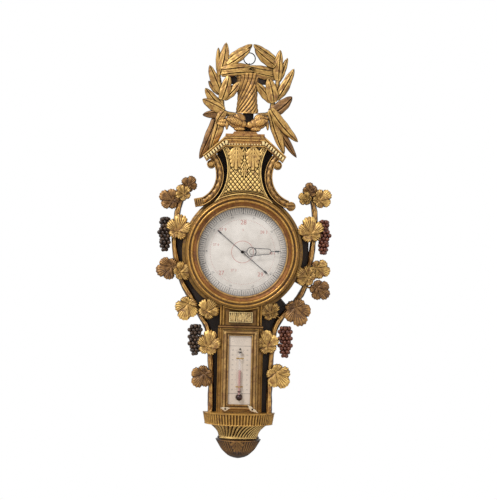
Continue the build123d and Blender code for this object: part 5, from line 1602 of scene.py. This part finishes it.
@dataclass(frozen=True)
class VineLeaf:
    """A lobed, gouged vine leaf that lies towards the viewer."""

    x: float
    z: float
    size: float
    direction: float
    foot: float
    thickness: float = 10.0
    lobes: int = 5

    def build(self, seed: float) -> Form:
        """Carves the leaf; the seed varies its curl and its cut edge."""
        tilt = Vector((math.sin(seed * 2.7), math.cos(seed * 1.9))) * 0.07

        def place(around: float, out: float) -> Vector:
            """A point of the leaf's face."""
            angle = around * 360 - 180
            lobe = 360 / self.lobes
            away = angle - lobe * round(angle / lobe)
            side = abs(away) / (lobe / 2)
            rank = abs(round(angle / lobe))
            edge = self.size * (0.55 - 0.1 * side ** 3) * (1.1, 0.97, 0.86)[min(rank, 2)] \
                * (1 + 0.025 * math.sin(angle * 0.4 + seed)
                   + 0.009 * math.cos(math.radians(angle) * 25))
            pad = math.sqrt(max(1 - 0.9 * side ** 2.4, 0.0))
            vein = math.exp(-(away * max(out, 0.2) / 2.2) ** 2)
            comb = 0.5 + 0.5 * math.cos(math.radians(away) * 30)
            height = 0.1 + 0.5 * lerp(1, pad, ease(0.05, 0.4, out))
            height += 0.32 * math.sin(math.pi * 0.72 * out)
            height += 0.07 * vein
            height += 0.12 * (comb - 0.6) * ease(0.15, 0.5, out)
            height -= 0.26 * ease(0.82, 1.0, out)
            heading = math.radians(self.direction + angle)
            base = 0.14 * self.size * (1 - out)
            radius = edge * out
            dx = radius * math.cos(heading) - base * math.cos(math.radians(self.direction))
            dz = radius * math.sin(heading) - base * math.sin(math.radians(self.direction))
            height += (tilt.x * dx + tilt.y * dz) / self.thickness
            return at(self.x + dx, self.foot + self.thickness * min(max(height, 0.22), 1.0),
                      self.z + dz)

        return carve(132, 18, place, self.foot)


# grapes in each row of a bunch, from the top
SLENDER = (2, 3, 2, 3, 4, 3, 2, 3, 2, 1)
FULL = (3, 4, 3, 4, 3, 4, 3, 2, 1)


@dataclass
class Vine:
    """A vine that climbs one side, with its leaves and two bunches of grapes."""

    hand: str
    route: tuple[Point, ...]
    leaves: tuple[tuple[float, float, float, float], ...]
    brown: tuple[int, ...]
    bunches: tuple[tuple[float, float, tuple[int, ...]], ...]
    grape_finish: Finish
    board: float = 8.0
    width: float = 14.5
    front: float = 25.0
    grape: float = 5.2
    row_pitch: float = 8.06
    place_pitch: float = 9.1
    grape_depth: float = 23.0
    back_depth: float = 15.5

    def build_grapes(self) -> None:
        """Rounds the grapes of both bunches, in a front and a back layer."""
        rng = random.Random(len(self.hand))
        grapes = []
        for top_x, top_z, rows in self.bunches:
            for layer, (depth, drop) in enumerate(((self.grape_depth, 0.0),
                                                   (self.back_depth, 0.5))):
                for row, count in enumerate(rows):
                    for step in range(count + (1 if layer and count < 3 else 0)):
                        width = (count - 1) / 2 + (0.5 if layer and count < 3 else 0.0)
                        x = top_x + (step - width) * self.place_pitch * (0.9 if layer else 1.0)
                        z = top_z - self.grape - (row + drop * 0.2) * self.row_pitch
                        size = self.grape * (0.9 + 0.12 * rng.random()) * (0.95 if layer else 1.0)
                        grapes.append(ball(at(x + rng.uniform(-0.8, 0.8),
                                              depth + rng.uniform(-1.0, 0.8),
                                              z + rng.uniform(-0.8, 0.8)),
                                              Vector((size, size, size * 1.04)) * MM,
                                           detail=3 if not layer else 2))
            foot = top_z - self.grape - self.row_pitch * (len(rows) - 2)
            core = Route(((top_x, top_z), (top_x, (top_z + foot) / 2), (top_x, foot)))
            grapes.append(Stem(core, 11.0, self.board, 19.0, 20, 0.2).build(1.0))
        put(joined(grapes), f"{self.hand}_bunches", self.grape_finish, [f"grapes_{self.hand}"],
            crease=80)

    def build(self) -> None:
        """Carves the stem, the leaves and the grapes."""
        forms = {Finish.LEAF_GILT: [], Finish.BROWN_LEAF: [],
                 Finish.RED_GILT: [Stem(Route(self.route), self.width, self.board, self.front, 170,
                                        0.2).build(
                     float(len(self.hand)))]}
        for number, (x, z, size, direction) in enumerate(self.leaves):
            leaf = VineLeaf(x, z, size, direction, 21.0 + 3.0 * (number % 2))
            forms[Finish.BROWN_LEAF if number in self.brown else Finish.LEAF_GILT].append(
                leaf.build(number * 1.3 + len(self.hand)))
            root = min((Route(self.route).place(k / 60) for k in range(61)),
                       key=lambda spot: (spot - Vector((x, z))).length)
            stalk = Route(((root.x, root.y), ((root.x + x) / 2, (root.y + z) / 2), (x, z)))
            forms[Finish.RED_GILT].append(Stem(stalk, 5.0, 17.0, 25.5, 12, 0.1).build(number))
        put(joined(forms[Finish.RED_GILT]), f"vine_stem_{self.hand}", Finish.RED_GILT,
            [f"vine_{self.hand}"], crease=60)
        put(joined(forms[Finish.LEAF_GILT]), f"vine_leaves_{self.hand}", Finish.LEAF_GILT,
            crease=60)
        put(joined(forms[Finish.BROWN_LEAF]), f"vine_shaded_leaves_{self.hand}", Finish.BROWN_LEAF,
            crease=60)
        self.build_grapes()


# route up the side; leaves as x, z, size, direction; the shaded leaves; bunches as x, top z, rows
VINES = (
    Vine("left", ((-68, -383), (-68, -330), (-70, -268), (-78, -190), (-94, -158), (-119, -114),
                  (-142, -74), (-159, -15), (-164, 35), (-159, 84), (-152, 115), (-144, 138)),
         ((-132, 157, 38, 60), (-144, 136, 38, 120), (-174, 121, 48, 150), (-153, 52, 56, 80),
          (-174.5, -42, 52, 200), (-143, -50, 44, 30), (-129, -134, 54, 250), (-78, -139, 50, 60),
          (-76, -222, 56, 80), (-88, -297, 52, 230)), (0, 2, 4, 9),
         ((-186, 80, SLENDER), (-108, -175, FULL)), Finish.DARK_GRAPE),
    Vine("right", ((72, -383), (72, -330), (74, -256), (81, -186), (99, -152), (132, -113),
                   (150, -82), (162, -25), (168, 25), (171, 85), (167, 115), (159, 140)),
         ((158, 149, 34, 100), (148, 130, 32, 150), (185, 130, 45, 40), (162, 53, 58, 100),
          (183.6, -36, 45, -20), (154, -55, 48, 150), (184.8, -85, 48, -40), (133, -137, 62, -70),
          (69, -140, 46, 110), (64, -218, 54, 100), (91, -292, 57, -50)), (0, 6, 7),
         ((193, 81, SLENDER), (107, -175, FULL)), Finish.RED_GRAPE))


# --------------------------------------------------------------------------------------------------
# Thermometer case and console
# --------------------------------------------------------------------------------------------------


@dataclass
class ThermometerCase:
    """The moulded box under the drum, its tablet, the framed scale and the tube."""

    board: float = 8.0
    box_half: float = 54.5
    box_top: float = -184.0
    box_foot: float = -383.0
    upper_half: float = 50.0
    drum_gap_radius: float = 135.2
    tablet_half: float = 28.5
    tablet_height: float = 26.5
    tablet_z: float = -155.0
    frame_half: float = 42.0
    frame_top: float = -186.0
    frame_foot: float = -378.0
    plate_half: float = 26.3
    plate_top: float = -199.7
    plate_foot: float = -362.4
    plate_front: float = 37.5
    tube_depth: float = 41.0
    bulb_z: float = -345.6
    stem_radius: float = 3.4
    stem_top: float = -235.0
    spirit_top: float = -281.0
    rules: tuple[float, float] = (-223.7, -336.7)
    ledge_half: float = 53.0
    ledge_z: float = -182.0
    ledge_height: float = 8.0
    ledge_back: float = 43.0
    ledge_reach: float = 6.0
    print_half: float = 0.03
    degrees: int = 41
    degree_pitch: float = 2.35
    first_degree: float = 18.0
    tick_lengths: tuple[float, float, float] = (6.0, 4.4, 2.8)
    tick_start: float = 5.4
    tick_width: float = 0.42
    rule_width: float = 0.7
    figure_x: float = 17.5
    figure_size: float = 4.6
    line_top: float = -204.5
    line_pitch: float = 2.9
    word_pitch: float = 4.0
    line_widths: tuple[int, ...] = (34, 38, 30, 40, 26, 20)
    # each chip: x, z, half width, half height, slope
    chips: tuple[tuple[float, ...], ...] = ((-32.1, -373.0, 9.5, 4.2, 0.0),
                                            (32.1, -373.0, 10.5, 4.6, -0.62))

    def build_box(self) -> None:
        """Runs the hollow mouldings down both sides of the lower box."""
        section = [(0.0, 8.0), (0.3, 24.0), (1.4, 27.5), (2.6, 27.2), (4.0, 25.8), (7.0, 25.6),
                   (9.4, 27.6), (10.6, 34.8), (11.6, 36.0), (54.5, 36.0)]

        def place(across: float, up: float) -> Vector:
            """A point of the box's front."""
            x = self.box_half * math.copysign(abs(2 * across - 1) ** 0.45, across - 0.5)
            z = lerp(self.box_foot, self.box_top, up)
            waver = 0.5 * noise.noise(Vector((x * 0.2, z * 0.02, 4.0)))
            return at(x, between(section, self.box_half - abs(x)) + waver * (abs(x) > 43), z)

        put(carve(120, 40, place, self.board), "case_box", Finish.BOX_GILT, ["thermometer_box"],
            crease=45)

    def upper_height(self, x: float, z: float) -> float:
        """The depth of the moulded field round the tablet."""
        edge = self.upper_half - abs(x)
        hug = math.hypot(x, z) - self.drum_gap_radius
        foot = z - self.box_top
        side = rounded([(0.0, 30.0), (0.8, 34.0), (3.0, 36.0), (6.2, 34.0), (7.0, 42.0),
                        (8.6, 43.0), (9.6, 41.6),
                        (14.0, 37.2), (15.0, 37.0)], edge)
        top = rounded([(0.0, 41.0), (0.8, 43.0), (3.0, 43.0), (3.8, 40.6), (6.0, 38.0),
                       (8.0, 37.0)], hug)
        low = rounded([(0.0, 42.0), (1.4, 43.0), (3.2, 43.0), (4.0, 41.0), (9.0, 37.4),
                       (10.0, 37.0)], foot)
        return max(side, top if hug < 8.0 else 0.0,
                   low if foot < 10.0 else 0.0) if edge > 7.0 else side

    def build_upper(self) -> None:
        """Carves the field under the drum."""

        def place(across: float, up: float) -> Vector:
            """A point of the field's face."""
            x = (2 * across - 1) * self.upper_half
            top = -math.sqrt(self.drum_gap_radius ** 2 - x * x)
            z = lerp(self.box_top, top, up)
            return at(x, self.upper_height(x, z), z)

        put(carve(140, 90, place, self.board), "tablet_field", Finish.BOX_GILT, crease=50)

    def build_tablet(self) -> None:
        """Punches the tablet's ground with uneven upright strokes."""

        def place(across: float, up: float) -> Vector:
            """A point of the tablet's face."""
            x, z = (2 * across - 1) * self.tablet_half, (up - 0.5) * self.tablet_height
            edge = min(self.tablet_half - abs(x), self.tablet_height / 2 - abs(z))
            punch = noise.noise(Vector((x * 0.5, z * 0.07, 2.0)))
            punch += 0.5 * noise.noise(Vector((x, z * 0.2, 7.0)))
            depth = rounded([(0.0, 43.5), (1.4, 46.0), (2.4, 46.2), (3.2, 44.8)], edge)
            return at(x, depth + (1.6 * punch if edge > 2.8 else 0.0), self.tablet_z + z)

        put(carve(150, 64, place, 37.0), "tablet_ground", Finish.PALE_GILT, ["tablet"], crease=60)

    def build_ledge(self) -> None:
        """Shapes the rail between the tablet and the frame."""

        def place(across: float, around: float) -> Vector:
            """A point of the ledge's face."""
            x = (2 * across - 1) * self.ledge_half
            rise = math.sin(math.pi * min(max(around, 0.0), 1.0)) ** 0.6
            return at(x, self.ledge_back + self.ledge_reach * rise,
                      self.ledge_z + self.ledge_height * around)

        # Painted shade: the rail takes the dark bowl gilding for the shadow band under the ledge.
        put(carve(30, 12, place, self.ledge_back), "case_rail", Finish.BOWL_GILT, ["case_ledge"])

    def build_frame(self) -> None:
        """Mitres the moulded frame round the scale."""
        section = ((0.0, 38.2), (0.04, 41.2), (0.12, 42.0), (0.22, 41.4), (0.3, 39.6), (0.36, 42.2),
                   (0.46, 44.4),
                   (0.6, 45.0), (0.74, 44.2), (0.82, 41.4), (0.86, 41.2), (0.9, 42.6), (0.97, 42.4),
                   (1.0, 41.0))
        corners = ((-1, -1), (-1, 1), (1, 1), (1, -1))

        def place(around: float, out: float) -> Vector:
            """A point of the frame's face."""
            position = around * 4
            step = min(int(position + 1e-6), 3)
            share = position - step
            half = lerp(self.plate_half, self.frame_half, out)
            low = lerp(self.plate_foot, self.frame_foot, out)
            high = lerp(self.plate_top, self.frame_top, out)
            (ax, az), (bx, bz) = corners[step], corners[(step + 1) % 4]
            sx, sz = lerp(ax, bx, share), lerp(az, bz, share)
            x, z = sx * half, (low + high) / 2 + sz * (high - low) / 2
            wear = 0.35 * noise.noise(Vector((x * 0.15, z * 0.15, out * 3)))
            return at(x, rounded(section, out) + wear, z)

        put(carve(96, 52, place, 36.0, ring=True), "scale_frame", Finish.FRAME_GILT,
            ["thermometer_frame"], crease=50)

    def build_scale(self) -> None:
        """Prints the scale: two rules, graduations on both sides and plain numbers."""
        dial = Dial(front=self.plate_front)
        dress(Finish.SCALE, "thermometer_scale")
        depth, ink = self.plate_front + self.print_half, 2 * self.print_half
        rules = [slab((0, depth, height), (2 * self.plate_half, ink, self.rule_width), 0.01, 1)
                 for height in self.rules]
        grey = []
        tens, fives, ones = self.tick_lengths
        for number in range(self.degrees):
            height = self.bulb_z + self.first_degree + number * self.degree_pitch
            long = tens if number % 10 == 0 else fives if number % 5 == 0 else ones
            for side in (-1, 1):
                grey.append(slab((side * (self.tick_start + long / 2), depth, height),
                                 (long, ink, self.tick_width), 0.01, 1))
            if number % 5 == 0:
                for side in (-1, 1):
                    grey.append(dial.figure(str(abs(number - 10) * 2), side * self.figure_x, height,
                                            self.figure_size))
        for line, width in enumerate(self.line_widths):
            for number in range(width // 4):
                grey.append(slab((-width / 2 + number * self.word_pitch + 1.8, depth,
                                  self.line_top - line * self.line_pitch),
                                 (2.7 - (number * 7 + line * 3) % 3 * 0.5, ink, 0.5), 0.01, 1))
        put(joined(rules), "scale_rules", Finish.BLACK_INK)
        put(joined(grey), "scale_graduations", Finish.GREY_INK)

    def build_chips(self) -> None:
        """Bares the white ground where the gilding has flaked round the two nails."""
        chips = []
        for number, (x, z, wide, tall, slope) in enumerate(self.chips):

            def place(around: float, out: float) -> Vector:
                """A point of the chip's ragged patch."""
                angle = around * 2 * math.pi
                ragged = 1 + 0.22 * math.sin(3 * angle + number)
                ragged += 0.12 * math.sin(7 * angle + 2 * number)
                dx = wide * ragged * out * math.cos(angle)
                dz = tall * ragged * out * math.sin(angle)
                return at(x + dx, 45.35 - 0.35 * out ** 4 + 0.1 * math.sin(5 * angle) * out,
                          z + dz + slope * dx)

            chips.append(carve(40, 6, place, 42.0))
        put(joined(chips), "bare_gesso", Finish.GESSO, crease=60)
        dress(Finish.IRON, "frame_pins")

    def build_bulb(self) -> None:
        """Fills the bulb with dark spirit and ties the stem to the plate."""
        dress(Finish.BRASS, "tube_clips")
        for name, finish, radius, top, node in (
                ("stem_glass", Finish.TUBE_GLASS, self.stem_radius, self.stem_top,
                 "thermometer_tube"),
                ("stem_spirit", Finish.SPIRIT, self.stem_radius - 0.9, self.spirit_top,
                 "thermometer_spirit")):

            def place(around: float, up: float) -> Vector:
                """A point of the stem's skin."""
                angle = around * 2 * math.pi
                reach = radius * between([(0.0, 0.0), (0.01, 1.0), (0.99, 1.0), (1.0, 0.0)], up)
                return at(reach * math.cos(angle), self.tube_depth + reach * math.sin(angle),
                          lerp(self.bulb_z, top, up))

            put(relief(32, 100, place), name, finish, [node], carved=False)
        put(ball(at(0, self.tube_depth, self.bulb_z), Vector((7.25, 7.25, 7.25)) * MM, detail=4),
            "bulb_skin", Finish.BULB, carved=False)
        ties = [slab((0, 41.2, self.stem_top - 3.0), (8.6, 7.6, 1.8), 0.5),
                ball(at(0, 39.0, self.stem_top + 4.0), Vector((1.7, 1.4, 2.4)) * MM),
                slab((0, 41.2, self.bulb_z + 13.5), (7.4, 7.4, 2.2), 0.5)]
        put(joined(ties), "stem_ties", Finish.IRON, carved=False)

    def build(self) -> None:
        """Builds the case."""
        self.build_box()
        self.build_upper()
        self.build_tablet()
        self.build_ledge()
        self.build_frame()
        self.build_scale()
        self.build_bulb()
        self.build_chips()


@dataclass
class Console:
    """The fluted shelf, the twisted gadroon tier and the pendant."""

    board: float = 8.0
    shelf_top: float = -383.0
    shelf_foot: float = -411.3
    gadroon_foot: float = -441.3
    pendant_top: float = -445.3
    shelf_flutes: int = 35
    gadroon_flutes: int = 21
    bowl: Route = Route(((49.3, 0.0), (54.5, 3.3), (50.0, 12.7), (38.4, 29.9), (19.8, 43.6),
                         (0.0, 49.0)))
    bowl_leaf: Acanthus = Acanthus(-2.0, -3.0, -36.0, 24.0, 3)

    def tier(self, top: float, foot: float, columns: int, rows: int,
             outline: Callable[[float, float], tuple[float, float]]) -> Form:
        """A half-oval tier against the board.

        Args:
            top: Its top height.
            foot: Its foot height.
            columns: Steps round it.
            rows: Steps down it.
            outline: Gives half width and reach for a share round and a share down.

        Returns:
            The tier, closed at its back, top and foot.
        """

        def place(around: float, down: float) -> Vector:
            """A point of the tier's face."""
            angle = math.pi * (1 - around)
            half, reach = outline(around, down)
            return at(half * math.cos(angle), self.board + reach * math.sin(angle),
                      lerp(top, foot, down))

        return carve(columns, rows, place, self.board)

    def build_shelf(self) -> None:
        """Cuts the upright flutes of the shelf between two fillets."""

        def outline(around: float, down: float) -> tuple[float, float]:
            """The shelf's half width and reach."""
            flute = abs(math.sin(math.pi * around * self.shelf_flutes)) ** 0.75
            inside = ease(0.08, 0.13, down) * (1 - ease(0.92, 0.97, down))
            cut = inside * (0.6 + 4.2 * (1 - flute))
            half = between([(0.0, 86.3), (0.12, 86.0), (1.0, 81.6)], down) - cut
            reach = between([(0.0, 61.98), (0.12, 61.6), (1.0, 58.6)], down) - cut
            return half, reach

        put(self.tier(self.shelf_top, self.shelf_foot, 330, 36, outline), "shelf_flutes",
            Finish.BOX_GILT, ["console_shelf"], crease=60)

    def build_gadroon(self) -> None:
        """Twists the gadroons of the tier under the shelf."""

        def outline(around: float, down: float) -> tuple[float, float]:
            """The tier's half width and reach."""
            lobe = abs(math.sin(math.pi * (around * self.gadroon_flutes
                                           - 1.7 * (1 - down) * (2 * around - 0.1)
                                           + 0.5 * down))) ** 0.65
            sweep = 1 - math.sin(down * math.pi / 2)
            cut = 4.4 * (1 - lobe) * ease(0.02, 0.12, down) * (1 - ease(0.93, 0.99, down))
            return 47.6 + 22.4 * sweep ** 1.1 - cut, 35.6 + 14.4 * sweep ** 1.1 - cut

        body = self.tier(self.shelf_foot, self.gadroon_foot, 300, 34, outline)
        fillet = self.tier(self.gadroon_foot, self.pendant_top, 80, 6,
                           lambda around, down: (50.0 - 1.2 * abs(2 * down - 1) ** 3,
                                                 37.5 - 1.2 * abs(2 * down - 1) ** 3))
        put(joined([body, fillet]), "twisted_gadroons", Finish.GILT, ["console_gadroon"], crease=60)

    def build_pendant(self) -> None:
        """Carves the hanging bowl with upright flutes and a long leaf."""
        fingers = self.bowl_leaf.fingers()

        def place(around: float, down: float) -> Vector:
            """A point of the bowl's skin."""
            radius, drop = self.bowl.place(down)
            angle = math.pi * (1 - around)
            lean = around + 0.012 * math.sin(down * 5)
            flute = abs(math.sin(math.pi * lean * 25)) ** 0.8
            leaf = 0.0
            if 0.3 < around < 0.7:
                leaf = max((finger.rise((around - 0.5) * 130.0, -drop) for finger in fingers),
                           default=0.0)
            inside = ease(2.5, 6.0, drop) * (1 - ease(34.0, 42.0, drop))
            radius = max(radius - 3.2 * inside * (1 - max(0.6 * flute, leaf)), 0.0)
            return at(radius * math.cos(angle), self.board + radius * math.sin(angle),
                      self.pendant_top - drop)

        put(carve(260, 60, place, self.board), "pendant_bowl", Finish.BOWL_GILT,
            ["console_pendant"], crease=60)

    def build(self) -> None:
        """Builds the console."""
        self.build_shelf()
        self.build_gadroon()
        self.build_pendant()


# --------------------------------------------------------------------------------------------------
# Studio
# --------------------------------------------------------------------------------------------------


@dataclass
class Studio:
    """Camera, lamps, floor and world."""

    distance: float = 4.0
    view_height: float = 1.2
    aim: tuple[float, float] = (0.0143, 0.0050)
    roll: float = 1.35
    # each lamp: name, place, size in metres, power in watts
    lamps: tuple[tuple[str, tuple[float, float, float], float, float], ...] = (
        ("key", (-2.1, -2.1, 2.4), 0.9, 88.0), ("fill", (2.2, -3.0, 0.4), 1.8, 17.0))
    room_strength: float = 0.3
    floor_half: float = 3.0
    floor_place: tuple[float, float, float] = (0.0, -2.2, -0.75)

    def build_camera(self) -> None:
        """Sets the camera square on to the dial, a little rolled."""
        lens = bpy.data.cameras.new("camera")
        lens.sensor_fit = "AUTO"
        lens.sensor_width = 36.0
        lens.lens = 36.0 * self.distance / self.view_height
        lens.clip_end = 50.0
        camera = linked("camera", lens)
        camera.location = (self.aim[0], -self.distance, self.aim[1])
        camera.rotation_euler = (math.radians(90), math.radians(-self.roll), 0.0)
        bpy.context.scene.camera = camera

    def lamp(self, name: str, place: tuple[float, float, float], size: float, power: float) -> None:
        """A square soft lamp that looks at the dial."""
        light = bpy.data.lights.new(name, "AREA")
        light.size = size
        light.energy = power
        holder = linked(name, light)
        holder.location = place
        holder.rotation_euler = (-Vector(place)).to_track_quat("-Z", "Y").to_euler()

    def build_world(self) -> None:
        """A dim white room that shows as plain white behind the barometer."""
        world = bpy.data.worlds.new("room")
        world.use_nodes = True
        nodes, links = world.node_tree.nodes, world.node_tree.links
        nodes.clear()
        output = nodes.new("ShaderNodeOutputWorld")
        path = nodes.new("ShaderNodeLightPath")
        seen, total = nodes.new("ShaderNodeMath"), nodes.new("ShaderNodeMath")
        for node in (seen, total):
            node.operation = "MAXIMUM"
        links.new(path.outputs["Is Camera Ray"], seen.inputs[0])
        links.new(path.outputs["Is Transmission Ray"], seen.inputs[1])
        links.new(seen.outputs[0], total.inputs[0])
        links.new(path.outputs["Is Glossy Ray"], total.inputs[1])
        room, white = nodes.new("ShaderNodeBackground"), nodes.new("ShaderNodeBackground")
        room.inputs["Color"].default_value = (1.0, 0.98, 0.95, 1.0)
        room.inputs["Strength"].default_value = self.room_strength
        white.inputs["Strength"].default_value = 1.0
        white.inputs["Color"].default_value = (1.0, 1.0, 1.0, 1.0)
        mix = nodes.new("ShaderNodeMixShader")
        links.new(total.outputs[0], mix.inputs[0])
        links.new(room.outputs[0], mix.inputs[1])
        links.new(white.outputs[0], mix.inputs[2])
        links.new(mix.outputs[0], output.inputs["Surface"])
        bpy.context.scene.world = world

    def build_floor(self) -> None:
        """Lays a pale floor well under the pendant."""
        form = bmesh.new()
        bmesh.ops.create_grid(form, x_segments=1, y_segments=1, size=self.floor_half)
        shift(form, Vector(self.floor_place))
        mesh = bpy.data.meshes.new("floor")
        form.to_mesh(mesh)
        form.free()
        floor = linked("floor", mesh)
        bench = Bench("pale_floor")
        floor.data.materials.append(bench.done(bench.mix(bench.noise(4), tint(238, 236, 233),
                                                         tint(230, 228, 225)),
                                               0.7))

    def build(self) -> None:
        """Sets up the studio."""
        bpy.context.scene.view_settings.view_transform = "Standard"
        self.build_camera()
        for lamp in self.lamps:
            self.lamp(*lamp)
        self.build_world()
        self.build_floor()


def main() -> None:
    """Builds the barometer from the middle outwards."""
    Studio().build()
    Drum().build()
    Dial().build()
    Hands().build()
    Works().build()
    Neck().build()
    Cornice().build()
    Trophy().build()
    Wreath().build()
    HangingRing().build()
    for vine in VINES:
        vine.build()
    ThermometerCase().build()
    Console().build()


if __name__ == "__main__":
    logging.basicConfig(level=logging.INFO, format="%(message)s")
    main()
